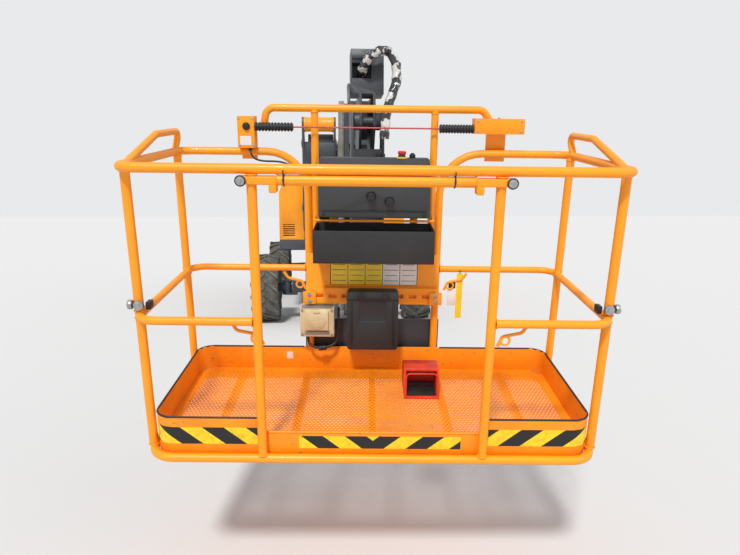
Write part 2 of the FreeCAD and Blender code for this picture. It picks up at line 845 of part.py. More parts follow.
def beamOutline(length, depth, cut):
    """A beam seen from the side, with its corners cut, from its pivot along the sketch's -x."""
    near, far = "(%s) / 2" % depth, "-(%s) - (%s) / 2" % (length, depth)
    return [
        (near, "-(%s) / 2 + %s" % (depth, cut)), (near, "(%s) / 2 - %s" % (depth, cut)),
        ("%s - %s" % (near, cut), "(%s) / 2" % depth), ("%s + %s" % (far, cut), "(%s) / 2" % depth),
        (far, "(%s) / 2 - %s" % (depth, cut)), (far, "-(%s) / 2 + %s" % (depth, cut)),
        ("%s + %s" % (far, cut), "-(%s) / 2" % depth), ("%s - %s" % (near, cut), "-(%s) / 2" % depth),
    ]


def armBeam(name, width, depth, pin, x, y, z, forward):
    """A beam with a bore at each end; it lies ahead of its pivot or behind it."""
    beam = newBody(name)
    side = beamOutline("armLength", depth, "%s / 4" % depth)
    far = "-armLength"
    if not forward:
        side, far = mirrored(side), "armLength"
    pad(beam, "YZ_Plane", [side], width)
    for spot in ("0", far):
        pocket(beam, "YZ_Plane", [(spot, "0", pin + " + pinClear")], width + " * 2")
    place(beam, x, y, z, frontUp(slope))
    return beam


lowerArm = armBeam("lower_arm", armWidth, "armDepth", "armPin", armMid,
                   "armPivotY", "armPivotZ", True)
armLug = [
    ("-armEyeAlong - eyeRadius * 2", "-armDepth / 2"),
    ("-armEyeAlong - eyeRadius", "-armEyeDrop - eyeRadius"),
    ("-armEyeAlong + eyeRadius", "-armEyeDrop - eyeRadius"),
    ("-armEyeAlong + eyeRadius * 2", "-armDepth / 2"),
]


def lugPair(body, side, eyeWidth, spot, head):
    """Two lugs beside an eye, each with the end of the pin on its outer face."""
    for sign in ("-", ""):
        centre = "%s(%s / 2 + sideGap + lugThick / 2)" % (sign, eyeWidth)
        pad(body, "YZ_Plane", [side], "lugThick", centre)
        pad(body, "YZ_Plane", [facets(*spot, head)], "lugThick / 2",
            "%s(%s / 2 + sideGap + lugThick * 1.25)" % (sign, eyeWidth))


lugPair(lowerArm, armLug, "armEye", ("-armEyeAlong", "-armEyeDrop"), "cylinderPin")
armBeam("lower_link", "linkWidth", "linkDepth", "linkPin", linkX,
        "armPivotY", "armPivotZ - linkDrop", True)

knee = newBody("mid_knuckle")
kneeSide = [
    ("-kneeHalf / 2", "-linkDrop - kneeHalf / 2"),
    ("kneeHalf / 2", "-linkDrop - kneeHalf / 2"),
    ("kneeHalf", "-linkDrop / 2"),
    ("kneeHalf", "kneeRise + kneeHalf / 2"),
    ("kneeHalf / 2", "kneeRise + kneeHalf"),
    ("-drumAhead + drumRadius / 2", "kneeRise + drumAbove + drumRadius * 0.9"),
    ("-drumAhead - drumRadius / 2", "kneeRise + drumAbove + drumRadius * 0.9"),
    ("-drumAhead - drumRadius * 0.9", "kneeRise + drumAbove"),
    ("-kneeHalf", "kneeRise - kneeHalf"),
    ("-kneeHalf", "-linkDrop / 2"),
]
for side in ("-", ""):
    pad(knee, "YZ_Plane", [kneeSide], "kneePlate", "%s(kneeInner + kneePlate) / 2" % side)
pad(knee, "XZ_Plane", [rect("-kneeInner / 2", "kneeInner / 2", "0", "kneeRise")], "kneeSkin",
    "-kneeHalf + kneeSkin / 2")
stubLength = "(linkWidth + sideGap * 1.5 + kneePlate / 2)"
stubX = "-kneeInner / 2 + (linkWidth + sideGap * 1.5 - kneePlate / 2) / 2"
for level in ("0", "kneeRise"):
    steppedPin(knee, ("0", level), "kneePlate", "0")
    pad(knee, "YZ_Plane", [("0", level + " - linkDrop", "linkPin")], stubLength, stubX)
place(knee, "armX", *elbow)

half = size["kneeInner"] / 2 - size["seatGap"]
crest, groove = size["drumRadius"], size["drumRadius"] - size["sideGap"]
lipEnd, grooveEnd = half - 4 * size["sideGap"], half - 5 * size["sideGap"]
drumRings = ringsAbout([(-half, crest), (-lipEnd, crest), (-grooveEnd, groove), (grooveEnd, groove),
                    (lipEnd, crest), (half, crest)], int(size["castSides"]))
drum = shaped("knuckle_drum", skin(drumRings))
place(drum, "armX", elbow[0] + " - drumAhead", "%s + drumAbove" % upperFront[1])

armBeam("upper_arm", armWidth, "armDepth", "armPin", armMid, *upperFront, False)
armBeam("upper_link", "linkWidth", "linkDepth", "linkPin", linkX,
        upperFront[0], upperFront[1] + " - linkDrop", False)

crown = newBody("top_knuckle")
crownSide = [
    ("-crownAhead", "-crownDrop + eyeRadius"),
    ("-crownAhead + eyeRadius", "-crownDrop"),
    ("0", "-crownDrop"),
    ("crownBack", "-liftEyeDrop / 2"),
    ("crownBack", "-eyeRadius / 2"),
    ("armPin * 2", "armPin * 3"),
    ("-armPin * 2", "armPin * 3"),
    ("-crownAhead", "0"),
]
bayRight = "(boomX + boomWidth / 2 + sideGap * 1.5 - armX)"
for centre in ("-(kneeInner + kneePlate) / 2", "(kneeInner + kneePlate) / 2",
               bayRight + " + kneePlate / 2"):
    pad(crown, "YZ_Plane", [crownSide], "kneePlate", centre)
baySpan = "%s + kneePlate - kneeInner / 2" % bayRight
bayMid = "(%s + kneePlate + kneeInner / 2) / 2" % bayRight
pad(crown, "YZ_Plane", [("boomEyeBack", "-boomEyeBack", "boomPin")], baySpan, bayMid)
pad(crown, "YZ_Plane", [("-liftEyeAhead", "-liftEyeDrop", "cylinderPin")], baySpan, bayMid)
pad(crown, "XZ_Plane", [rect("kneeInner / 2", bayRight, "-crownDrop", "-crownDrop + kneeSkin")],
    "crownAhead - eyeRadius", "-(crownAhead - eyeRadius) / 2")
steppedPin(crown, ("0", "0"), "kneePlate", "0")
pad(crown, "YZ_Plane", [("0", "-linkDrop", "linkPin")], stubLength, stubX)
pad(crown, "XZ_Plane", [rect("-kneeInner / 2", "kneeInner / 2", "-liftEyeDrop / 2", "-eyeRadius")],
    "kneeSkin", "armDepth / 2 + sideGap * 3 + kneeSkin / 2")
place(crown, "armX", *upperRear)


# Lift cylinders: a barrel on its base pin and a rod that ends in an eye between two lugs

def reachBetween(base, tip):
    """The distance and the rise in degrees from one pin to another, each (y, z) expressions."""
    ahead, rise = value("%s - (%s)" % (base[0], tip[0])), value("%s - (%s)" % (tip[1], base[1]))
    return math.hypot(ahead, rise), math.degrees(math.atan2(rise, ahead))


def liftCylinder(name, x, base, tip, barrel, rod, glandGap, rodStart, eyeWidth, eye, pin):
    length = "sqrt((%s - (%s)) ^ 2 + (%s - (%s)) ^ 2)" % (base[0], tip[0], base[1], tip[1])
    barrelLength = "(%s - %s)" % (length, glandGap)
    rodLength = "(%s - %s)" % (length, rodStart)
    rise = reachBetween(base, tip)[1]
    sleeve = newBody(name + "_barrel")
    start = "-(%s + %s / 2)" % (eye, barrel)
    revolve(sleeve, "XY_Plane", [
        ("0", start), (barrel, start), (barrel, "-(%s)" % barrelLength),
        ("%s + pinClear" % rod, "-(%s)" % barrelLength),
        ("%s + pinClear" % rod, "%s - %s" % (start, rod)), ("0", "%s - %s" % (start, rod)),
    ], "V_Axis")
    neck = rect(start + " - 1", "0", "-%s * 0.7" % eye, "%s * 0.7" % eye)
    pad(sleeve, "YZ_Plane", [neck], eyeWidth)
    pad(sleeve, "YZ_Plane", [facets("0", "0", eye)], eyeWidth)
    pocket(sleeve, "YZ_Plane", [("0", "0", pin + " + pinClear")], eyeWidth + " * 2")
    place(sleeve, x, *base, frontUp(rise))
    shaft = newBody(name + "_rod")
    revolve(shaft, "XY_Plane", [
        ("0", "-(%s)" % length), (rod, "-(%s)" % length),
        (rod, "-(%s) + %s" % (length, rodLength)), ("0", "-(%s) + %s" % (length, rodLength)),
    ], "V_Axis")
    pad(shaft, "YZ_Plane", [facets("-(%s)" % length, "0", eye)], eyeWidth)
    place(shaft, x, *base, frontUp(rise))


armTip = ("armPivotY - armEyeAlong * cos(armSlope) - armEyeDrop * sin(armSlope)",
          "armPivotZ + armEyeAlong * sin(armSlope) - armEyeDrop * cos(armSlope)")
liftCylinder("arm_cylinder", armMid, ("baseEyeY", "baseEyeZ"), armTip, "armBarrel", "armRod",
             "armGlandGap", "armRodStart", "armEye", "eyeRadius", "cylinderPin")
crownEye = ("armPivotY - liftEyeAhead", "%s - liftEyeDrop" % upperRear[1])
boomPivot = ("armPivotY + boomEyeBack", "%s - boomEyeBack" % upperRear[1])
boomTip = ("%s - boomEyeAlong" % boomPivot[0], "%s - boomEyeDrop" % boomPivot[1])
liftCylinder("boom_cylinder", "boomX", crownEye, boomTip, "boomBarrel", "boomRod",
             "boomGlandGap", "boomRodStart", "armEye", "eyeRadius", "cylinderPin")


# Main boom: an outer box with a wear collar at its nose, and the fly that slides in it

boom = newBody("boom_outer")
boomSide = [
    ("boomTail", "-boomDepth / 4"), ("boomTail", "boomDepth / 4"), ("boomTail / 2", "boomDepth / 2"),
    ("-boomLength", "boomDepth / 2"), ("-boomLength", "-boomDepth / 2"),
    ("boomTail / 2", "-boomDepth / 2"),
]
pad(boom, "YZ_Plane", [boomSide], "boomWidth")
band = rect("-boomWidth / 2 - collarRise / 2", "boomWidth / 2 + collarRise / 2",
            "-boomDepth / 2 - collarRise", "boomDepth / 2 + collarRise")
pad(boom, "XZ_Plane", [band], "collarLength", "-boomLength + collarLength / 2")
bay = rect("-boomWidth / 2 + boomWall", "boomWidth / 2 - boomWall",
           "-boomDepth / 2 + boomWall", "boomDepth / 2 - boomWall")
pocket(boom, "XZ_Plane", [bay], "boomLength - collarLength - boomTailSolid",
       "-(boomLength - collarLength + boomTailSolid) / 2")
mouth = rect("-flyWidth / 2 - seatGap", "flyWidth / 2 + seatGap",
             "-flyDepth / 2 - seatGap", "flyDepth / 2 + seatGap")
pocket(boom, "XZ_Plane", [mouth], "collarLength * 2", "-boomLength")
pocket(boom, "YZ_Plane", [("0", "0", "boomPin + pinClear")], "boomWidth * 2")
boomLug = [
    ("-boomEyeAlong - eyeRadius * 2", "-boomDepth / 2"),
    ("-boomEyeAlong - eyeRadius", "-boomEyeDrop - eyeRadius"),
    ("-boomEyeAlong + eyeRadius", "-boomEyeDrop - eyeRadius"),
    ("-boomEyeAlong + eyeRadius * 2", "-boomDepth / 2"),
]
lugPair(boom, boomLug, "armEye", ("-boomEyeAlong", "-boomEyeDrop"), "cylinderPin")
place(boom, "boomX", *boomPivot)

fly = newBody("boom_fly")
flyEnd = "%s - boomLength - flyReach" % boomPivot[0]
pad(fly, "XZ_Plane", [rect("-flyWidth / 2", "flyWidth / 2", "-flyDepth / 2", "flyDepth / 2")],
    "flyLength", "flyLength / 2")
hollow = rect("-flyWidth / 2 + boomWall", "flyWidth / 2 - boomWall",
              "-flyDepth / 2 + boomWall", "flyDepth / 2 - boomWall")
pocket(fly, "XZ_Plane", [hollow], "(flyLength - flyEndPlate) * 2", "flyLength")
place(fly, "boomX", flyEnd, boomPivot[1])


# Boom head: two plates and a top block that carry the jib, its cylinder and its tie rod

head = newBody("boom_head")
rise = boomPivot[1] + " - jibPivotZ"
back = "(%s) - jibPivotY" % flyEnd
baseEye = ("jibBaseReach * cos(180 - jibBaseAngle)", "-jibBaseReach * sin(jibBaseAngle)")
headSide = [
    (back, "%s + flyDepth / 2 - sideGap" % rise),
    ("headBlockDepth - headBlockAhead + sideGap", "headBlockBase - jibPivotZ + sideGap"),
    ("-headBlockAhead", "headBlockBase - jibPivotZ + sideGap"),
    ("-jibBossRadius", "jibBossRadius"),
    ("-jibBossRadius", "-jibBossRadius / 2"),
    ("%s - jibEyeRadius * 1.5" % baseEye[0], baseEye[1]),
    ("%s - jibEyeRadius / 2" % baseEye[0], "%s - jibEyeRadius * 1.5" % baseEye[1]),
    ("%s + jibEyeRadius" % baseEye[0], "%s - jibEyeRadius * 1.5" % baseEye[1]),
    (back, "%s - flyDepth / 2 + sideGap" % rise),
]
for side in ("-", ""):
    pad(head, "YZ_Plane", [headSide], "headPlate", "%s(headGap + headPlate) / 2" % side)
for side in ("-", ""):
    bossLength = "(jibWidth / 2 - jibWall - sideGap - headGap / 2)"
    bossMid = "%s(headGap / 2 + %s / 2)" % (side, bossLength)
    pad(head, "YZ_Plane", [facets("0", "0", "jibBossRadius")], bossLength, bossMid)
pocket(head, "YZ_Plane", [("0", "0", "jibPin + pinClear")], "jibWidth")
pad(head, "YZ_Plane", [baseEye + ("jibEyePin",)], "headGap + headPlate")
endPlate = rect("-flyWidth / 2", "flyWidth / 2", "%s - flyDepth / 2" % rise,
                "%s + flyDepth / 2" % rise)
pad(head, "XZ_Plane", [endPlate], "flyEndPlate", "%s - flyEndPlate / 2" % back)
block = rect("-jibWidth / 2", "jibWidth / 2", "headBlockBase - jibPivotZ", "headTop - jibPivotZ")
blockMid = "headBlockDepth / 2 - headBlockAhead"
pad(head, "XZ_Plane", [block], "headBlockDepth", blockMid)
hole = rect("-hoseHoleLeft", "hoseHoleRight", "hoseHoleLow - jibPivotZ", "hoseHoleHigh - jibPivotZ")
pocket(head, "XZ_Plane", [hole], "hoseHoleDepth * 2", "-headBlockAhead")
bar = rect("-hoseHoleLeft", "hoseHoleRight", "clampBarZ - clampBarHigh / 2 - jibPivotZ",
           "clampBarZ + clampBarHigh / 2 - jibPivotZ")
pad(head, "XZ_Plane", [bar], "clampBarThick", "-headBlockAhead - clampBarThick / 2")
tieSpot = ("-tieOffset * cos(tieAngle)", "tieOffset * sin(tieAngle)")
tiePlateX = "-(jibWidth / 2 + sideGap + tiePlate / 2)"
hanger = [
    (tieSpot[0] + " - tieEyeRadius", tieSpot[1] + " - tieEyeRadius / 2"),
    (tieSpot[0], tieSpot[1] + " - tieEyeRadius"),
    (tieSpot[0] + " + tieEyeRadius", tieSpot[1] + " - tieEyeRadius / 2"),
    ("headBlockDepth / 2", "headBlockBase - jibPivotZ + tieEyeRadius * 2"),
    ("-headBlockAhead", "headBlockBase - jibPivotZ + tieEyeRadius * 2"),
    (tieSpot[0] + " - tieEyeRadius", tieSpot[1] + " + tieEyeRadius"),
]
pad(head, "YZ_Plane", [hanger], "tiePlate", tiePlateX)
root = rect("-headBlockAhead", "headBlockDepth / 2", "headBlockBase - jibPivotZ + sideGap",
            "headBlockBase - jibPivotZ + tieEyeRadius * 2")
pad(head, "YZ_Plane", [root], "sideGap", "-(jibWidth + sideGap) / 2")
tieStub = "(boomX - tieX + tieEyeWidth / 2 - jibWidth / 2 - sideGap)"
pad(head, "YZ_Plane", [tieSpot + ("tiePin",)], tieStub,
    "-(jibWidth / 2 + sideGap + %s / 2)" % tieStub)
place(head, "boomX", "jibPivotY", "jibPivotZ")


# Jib: a channel open at the back, with the tie rod that keeps its yoke square to the boom

tilt = Rotation(Vector(1, 0, 0), value("jibTilt"))
jibFoot = ("jibPivotY + jibLength * sin(jibTilt)", "jibPivotZ - jibLength * cos(jibTilt)")
jib = newBody("jib")
jibSide = [
    ("-jibDepth / 2", "-jibBossRadius * 3"),
    ("-jibDepth / 3", "jibBossRadius"),
    ("-jibDepth / 6", "jibDepth / 2 - sideGap"),
    ("jibDepth / 6", "jibDepth / 2 - sideGap"),
    ("jibDepth / 3", "jibBossRadius"),
    ("jibDepth / 2", "-jibBossRadius * 3"),
    ("jibDepth / 2", "-jibEyeAlong + jibEyeBack"),
    ("jibEyeBack + jibEyeRadius", "-jibEyeAlong + jibEyeRadius"),
    ("jibEyeBack + jibEyeRadius", "-jibEyeAlong - jibEyeRadius"),
    ("jibDepth / 2", "-jibEyeAlong - jibEyeBack"),
    ("jibDepth / 2", "-jibLength + jibBossRadius * 2"),
    ("jibDepth / 4", "-jibLength - jibBossRadius * 1.4"),
    ("-jibDepth / 4", "-jibLength - jibBossRadius * 1.4"),
    ("-jibDepth / 2", "-jibLength + jibBossRadius * 2"),
]
for side in ("-", ""):
    pad(jib, "YZ_Plane", [jibSide], "jibWall", "%s(jibWidth - jibWall) / 2" % side)
web = rect("-jibWidth / 2", "jibWidth / 2", "-jibLength + jibBossRadius * 2.6",
           "-jibBossRadius * 3")
pad(jib, "XZ_Plane", [web], "jibWall", "-(jibDepth - jibWall) / 2")
for along in ("0", "-jibLength"):
    pad(jib, "YZ_Plane", [("0", along, "jibPin")], "jibWidth")
for side in ("-", ""):
    pad(jib, "YZ_Plane", [facets("jibEyeBack", "-jibEyeAlong", "jibEyePin * 1.3")], "sideGap",
        "%s(jibWidth + sideGap) / 2" % side)
place(jib, "boomX", "jibPivotY", "jibPivotZ", tilt)

tieTop = ("jibPivotY + %s" % tieSpot[0], "jibPivotZ + %s" % tieSpot[1])
tie = newBody("jib_tie_rod")
pad(tie, "XY_Plane", [facets("0", "0", "tieRadius")], "jibLength - tieEyeRadius * 1.5",
    "-jibLength / 2")
for along in ("0", "-jibLength"):
    pad(tie, "YZ_Plane", [facets("0", along, "tieEyeRadius")], "tieEyeWidth")
    pocket(tie, "YZ_Plane", [("0", along, "tiePin + pinClear")], "tieEyeWidth * 2")
place(tie, "tieX", tieTop[0], tieTop[1], tilt)

jibBase = ("jibPivotY + %s" % baseEye[0], "jibPivotZ + %s" % baseEye[1])
jibTip = ("jibPivotY + jibEyeBack * cos(jibTilt) + jibEyeAlong * sin(jibTilt)",
          "jibPivotZ + jibEyeBack * sin(jibTilt) - jibEyeAlong * cos(jibTilt)")
liftCylinder("jib_cylinder", "boomX", jibBase, jibTip, "jibBarrel", "jibRod",
             "jibGlandGap", "jibRodStart", "jibEyeWidth", "jibEyeRadius", "jibEyePin")


# Yoke at the jib's foot and the levelled mount with the basket's swivel

yoke = newBody("jib_yoke")
inner = "(jibWidth / 2 - jibWall - sideGap)"
pad(yoke, "YZ_Plane", [facets("0", "0", "yokeBossRadius")], inner + " * 2")
pad(yoke, "YZ_Plane", [rect("-yokeBlockFar", "0", "-yokeHalfHigh", "yokeHalfHigh")], inner + " * 2")
wide = rect("-jibWidth / 2 - sideGap - tiePlate", "jibWidth / 2", "-yokeHalfHigh",
            "%s + tieEyeRadius" % tieSpot[1])
pad(yoke, "XZ_Plane", [wide], "yokeBlockFar - yokeBlockNear", "-(yokeBlockFar + yokeBlockNear) / 2")
wing = [
    ("-yokeBlockNear - 1", "0"),
    (tieSpot[0] + " + tieEyeRadius", tieSpot[1] + " - tieEyeRadius"),
    (tieSpot[0] + " + tieEyeRadius", tieSpot[1] + " + tieEyeRadius"),
    ("-yokeBlockNear - 1", tieSpot[1] + " + tieEyeRadius"),
]
pad(yoke, "YZ_Plane", [wing], "tiePlate", tiePlateX)
pad(yoke, "YZ_Plane", [tieSpot + ("tiePin",)], tieStub,
    "-(jibWidth / 2 + sideGap + %s / 2)" % tieStub)
ear = rect("-levelReach - levelBoss", "-yokeBlockFar + 1", "-levelBoss", "levelBoss")
for side in ("-", ""):
    pad(yoke, "YZ_Plane", [ear], "earThick", "%s(earInner + earThick / 2)" % side)
pocket(yoke, "YZ_Plane", [("0", "0", "jibPin + pinClear")], "jibWidth")
pocket(yoke, "YZ_Plane", [("-levelReach", "0", "levelPin + pinClear")], "jibWidth")
place(yoke, "boomX", *jibFoot)

swivelX = "basketX - swivelBack * sin(basketYaw)"
swivelY = "basketY + swivelBack * cos(basketYaw) * cos(jibTilt)"
swivelZ = "basketZ + swivelBack * cos(basketYaw) * sin(jibTilt)"
levelAxis = (jibFoot[0] + " - levelReach", jibFoot[1])
aheadY, aboveZ = "(%s - (%s))" % (swivelY, levelAxis[0]), "(%s - (%s))" % (swivelZ, levelAxis[1])
swivelAhead = "(%s * cos(jibTilt) + %s * sin(jibTilt))" % (aheadY, aboveZ)
swivelFoot = "(%s * cos(jibTilt) - %s * sin(jibTilt) + swivelLift)" % (aboveZ, aheadY)
mount = newBody("basket_mount")
pad(mount, "YZ_Plane", [facets("0", "0", "levelBoss")], "(earInner - sideGap) * 2")
pad(mount, "YZ_Plane", [("0", "0", "levelPin")], "(earInner + earThick) * 2")
gusset = [
    ("0", "-levelBoss"), ("0", "levelBoss"),
    (swivelAhead + " + swivelRadius / 2", swivelFoot + " + swivelHeight - swivelLift"),
    (swivelAhead + " + swivelRadius / 2", swivelFoot + " + swivelLift"),
]
pad(mount, "YZ_Plane", [gusset], "(earInner - sideGap) * 2")
pad(mount, "XY_Plane", [facets("0", swivelAhead, "swivelRadius")], "swivelHeight",
    swivelFoot + " + swivelHeight / 2")
pocket(mount, "XY_Plane", [("0", swivelAhead, "swivelPin + pinClear")], "swivelHeight * 1.5",
       swivelFoot + " + swivelHeight / 2")
place(mount, swivelX, *levelAxis, tilt)


# Basket: its own axes are u across, v towards the boom and w up, from the floor ring's middle

basketTurn = tilt.multiply(Rotation(Vector(0, 0, 1), value("basketYaw")))


def placeInBasket(thing):
    return place(thing, "basketX", "basketY", "basketZ", basketTurn)


bracket = newBody("basket_bracket")
backFace = "basketDepth / 2 + railRadius"
upright = rect("-bracketWide", "bracketWide", "0", "bracketRise")
pad(bracket, "XZ_Plane", [upright], "bracketPlate", backFace + " + bracketPlate / 2")
lower = "swivelLift - sideGap - bracketPlate / 2"
upper = "swivelLift + swivelHeight + sideGap + bracketPlate / 2"
for level in (lower, upper):
    tongue = rect("-bracketHalf", "bracketHalf", backFace, "swivelBack")
    pad(bracket, "XY_Plane", [tongue], "bracketPlate", level)
    pad(bracket, "XY_Plane", [facets("0", "swivelBack", "bracketHalf")], "bracketPlate", level)
pad(bracket, "XY_Plane", [("0", "swivelBack", "swivelPin")], "swivelHeight + sideGap * 2 + 2",
    "swivelLift + swivelHeight / 2")
cheek = rect(backFace, "swivelBack - swivelRadius - sideGap * 2", lower, upper)
for side in ("-", ""):
    pad(bracket, "YZ_Plane", [cheek], "bracketPlate", "%s(bracketHalf - bracketPlate / 2)" % side)
placeInBasket(bracket)


def bentPath(points, bend=None):
    """The spots of straight runs and the arcs that join them, each arc drawn in a few steps.

    One radius serves every bend, or a list names each; with none, an arc is as wide as its runs allow.
    """
    path, steps = [Vector(*p) for p in points], int(size["bendSteps"])
    bends = bend if isinstance(bend, list) else [bend] * len(path)
    spots = [path[0]]
    for before, corner, after, radius in zip(path, path[1:], path[2:], bends):
        inward, outward = (corner - before).normalize(), (after - corner).normalize()
        turn = inward.getAngle(outward)
        if radius is None:
            shorter = min((corner - before).Length, (after - corner).Length)
            radius = size["bendShare"] * shorter / math.tan(turn / 2)
            print("hose bend %.0f mm" % radius)
        side = (outward - inward).normalize()
        centre = corner + side * (radius / math.cos(turn / 2))
        arm = corner - inward * (radius * math.tan(turn / 2)) - centre
        axis = inward.cross(outward)
        for k in range(steps + 1):
            spots.append(centre + Rotation(axis, math.degrees(turn) * k / steps).multVec(arm))
    return spots + [path[-1]]


def flatBar(spots, radius, sides, closed=False):
    """A bar in flat facets through the spots, mitred where it turns."""
    along = (spots[1] - spots[0]).normalize()
    across = along.cross(Vector(0, 0, 1) if abs(along.z) < 0.7 else Vector(1, 0, 0)).normalize()
    rise = along.cross(across)
    turns = [2 * math.pi * k / sides for k in range(sides)]
    rings = [[spots[0] + (across * math.cos(a) + rise * math.sin(a)) * radius for a in turns]]
    for before, spot, after in zip(spots, spots[1:], spots[2:] + [None]):
        run = (spot - before).normalize()
        facing = (run + (after - spot).normalize()).normalize() if after else run
        rings.append([p + run * ((spot - p).dot(facing) / run.dot(facing)) for p in rings[-1]])
    return skin(rings[:-1] if closed else rings, closed)


def tube(points, radius, bend):
    """A bar along straight runs joined by arcs."""
    return flatBar(bentPath(points, bend), radius, int(size["barSides"]))


def roundedLoop(halfWide, halfDeep, corner):
    """A rectangle's spots about the basket's middle, its corners rounded in flats."""
    return bentPath([(0, -halfDeep, 0), (halfWide, -halfDeep, 0), (halfWide, halfDeep, 0),
                     (-halfWide, halfDeep, 0), (-halfWide, -halfDeep, 0), (0, -halfDeep, 0)], corner)


wide, deep = size["basketWidth"] / 2, size["basketDepth"] / 2
bar, bend, top, mid = size["railRadius"], size["railBend"], size["railTop"], size["railMid"]
ringPath = roundedLoop(wide, deep, size["basketCorner"])
placeInBasket(shaped("floor_ring", flatBar(ringPath, bar, int(size["barSides"]), True)))

railEnd, postTop = wide + size["railOut"], wide + size["postOut"]
topRail = tube([
    (-size["backPost"], deep, bar), (-size["backPost"], deep, top), (-railEnd, deep, top),
    (-railEnd, -deep, top), (railEnd, -deep, top), (railEnd, deep, top),
    (size["backPost"], deep, top), (size["backPost"], deep, bar),
], bar, [size["postBend"], bend, bend, bend, bend, size["postBend"]])
placeInBasket(shaped("top_rail", topRail))

for name, hand in (("left", -1), ("right", 1)):
    gate = hand * size["gatePost"]
    corner = hand * wide
    pieces = [
        tube([(hand * (size["backPost"] + bar), deep, mid), (corner, deep, mid),
              (corner, -deep, mid), (gate + hand * bar, -deep, mid)], bar * 0.9, bend),
        tube([(gate, -deep, bar), (gate, -deep, top - bar)], bar, bend),
        tube([(hand * postTop, -deep + bend, top - bar / 2), (corner, -deep + bend, bar)], bar, bend),
        tube([(hand * postTop, deep - bend, top - bar / 2), (corner, deep - bend, bar)], bar, bend),
        tube([(hand * railEnd, -size["gripFront"], top),
              (hand * railEnd, -size["gripFront"] + size["gripLean"], top + size["gripRise"]),
              (hand * railEnd, size["gripBack"] + size["gripOver"], top + size["gripRise"]),
              (hand * railEnd, size["gripBack"], top)], bar * 0.85, bend / 3),
    ]
    placeInBasket(shaped("side_frame_" + name, pieces[0].fuse(pieces[1:]).cut(topRail)))


def slab(spotsOut, spotsIn, low, high):
    """A wall of even height between two closed outlines."""
    face = Part.Face(Part.makePolygon(spotsOut))
    if spotsIn:
        face = face.cut(Part.Face(Part.makePolygon(spotsIn)))
    face.translate(Vector(0, 0, low))
    return face.extrude(Vector(0, 0, high - low))


toeInset = bar / math.cos(math.pi / 4 / size["bendSteps"]) + size["seatGap"]
toeOut = wide - toeInset, deep - toeInset
toeWall = size["toeThick"]
outer = roundedLoop(toeOut[0], toeOut[1], size["basketCorner"] - toeInset)
inner = roundedLoop(toeOut[0] - toeWall, toeOut[1] - toeWall,
                    size["basketCorner"] - toeInset - toeWall)
toe = slab(outer, inner, 0, size["toeRise"])
frontCut = Part.makeBox(2 * size["gatePost"], deep / 2, size["toeRise"],
                        Vector(-size["gatePost"], -1.25 * deep, size["toeFront"]))
placeInBasket(shaped("toe_boards", toe.cut(frontCut)))

inset = toeWall + size["seatGap"]
floorEdge = roundedLoop(toeOut[0] - inset, toeOut[1] - inset,
                        size["basketCorner"] - toeInset - inset)
floorPieces = [slab(floorEdge, None, size["floorRise"], size["floorRise"] + size["floorThick"])]
for k in range(5):
    u = (k - 2) * size["basketWidth"] / 5.5
    floorPieces.append(Part.makeBox(size["floorBar"], 2 * (toeOut[1] - inset),
                                    size["floorRise"] + 1,
                                    Vector(u - size["floorBar"] / 2, inset - toeOut[1], 0)))
placeInBasket(shaped("basket_floor", floorPieces[0].fuse(floorPieces[1:])))

guardBar, boxDeep, hoopBar = size["guardBarRise"], size["boxDepth"], size["hoopRadius"]
guardDeep = deep - hoopBar - size["guardBarRadius"] - size["seatGap"]
hoopLeft = size["leftBoxU"] + size["leftBoxWide"] / 2
hoopPieces = [
    tube([(hoopLeft + bar * 2, deep, guardBar + bar * 0.4),
          (-size["hoopHalf"] + bar, deep, size["hoopRise"]),
          (size["hoopHalf"] - bar, deep, size["hoopRise"]),
          (size["hoopHalf"] + bar, deep, guardBar + size["rightBoxHigh"] / 2)],
         hoopBar, bend * 0.6),
]
for hand in (-1, 1):
    beside = hand * (size["backPost"] - bar - hoopBar - size["seatGap"])
    hoopPieces.append(flatBar([Vector(beside, deep, size["panelLow"]),
                               Vector(beside, deep, size["hoopRise"])],
                              hoopBar, int(size["barSides"])))
hoop = hoopPieces[0].fuse(hoopPieces[1:])
placeInBasket(shaped("console_hoop", hoop))

boxPieces = []
for name in ("left", "right"):
    u, width = size[name + "BoxU"], size[name + "BoxWide"]
    high, drop, footWide = size[name + "BoxHigh"], size[name + "BoxDrop"], size[name + "FootWide"]
    corner = Vector(u - width / 2, deep - boxDeep / 2 - size["boxAhead"],
                    guardBar - high / 2 - drop)
    case = Part.makeBox(width, boxDeep, high, corner)
    case = case.makeFillet(bar * 0.3, [e for e in case.Edges if e.Length == high])
    footLeft, footBack = u - footWide / 2, deep + bar + size["seatGap"]
    foot = Part.makeBox(footWide, toeWall * 2, corner.z - top + bar * 2,
                        Vector(footLeft, footBack, top - bar * 2))
    lip = Part.makeBox(footWide, toeWall * 2, bar * 2, Vector(footLeft, footBack, corner.z - 1))
    boxPieces.append(case.fuse([foot, lip]).cut(hoop))
placeInBasket(shaped("shield_boxes", Part.makeCompound(boxPieces)))


def bellowsShape(start, length):
    """A ribbed sleeve along u from a start, about the guard bar's line."""
    pitch = length / size["bellowsCount"]
    crest = size["guardBarRadius"]
    root = crest - size["bellowsFold"]
    section = [(start, root)]
    for k in range(int(size["bellowsCount"])):
        section.append((start + (k + 0.5) * pitch, crest))
        section.append((start + (k + 1) * pitch, root))
    sleeve = skin(ringsAbout(section, int(size["barSides"])))
    sleeve.translate(Vector(0, guardDeep, guardBar))
    return sleeve


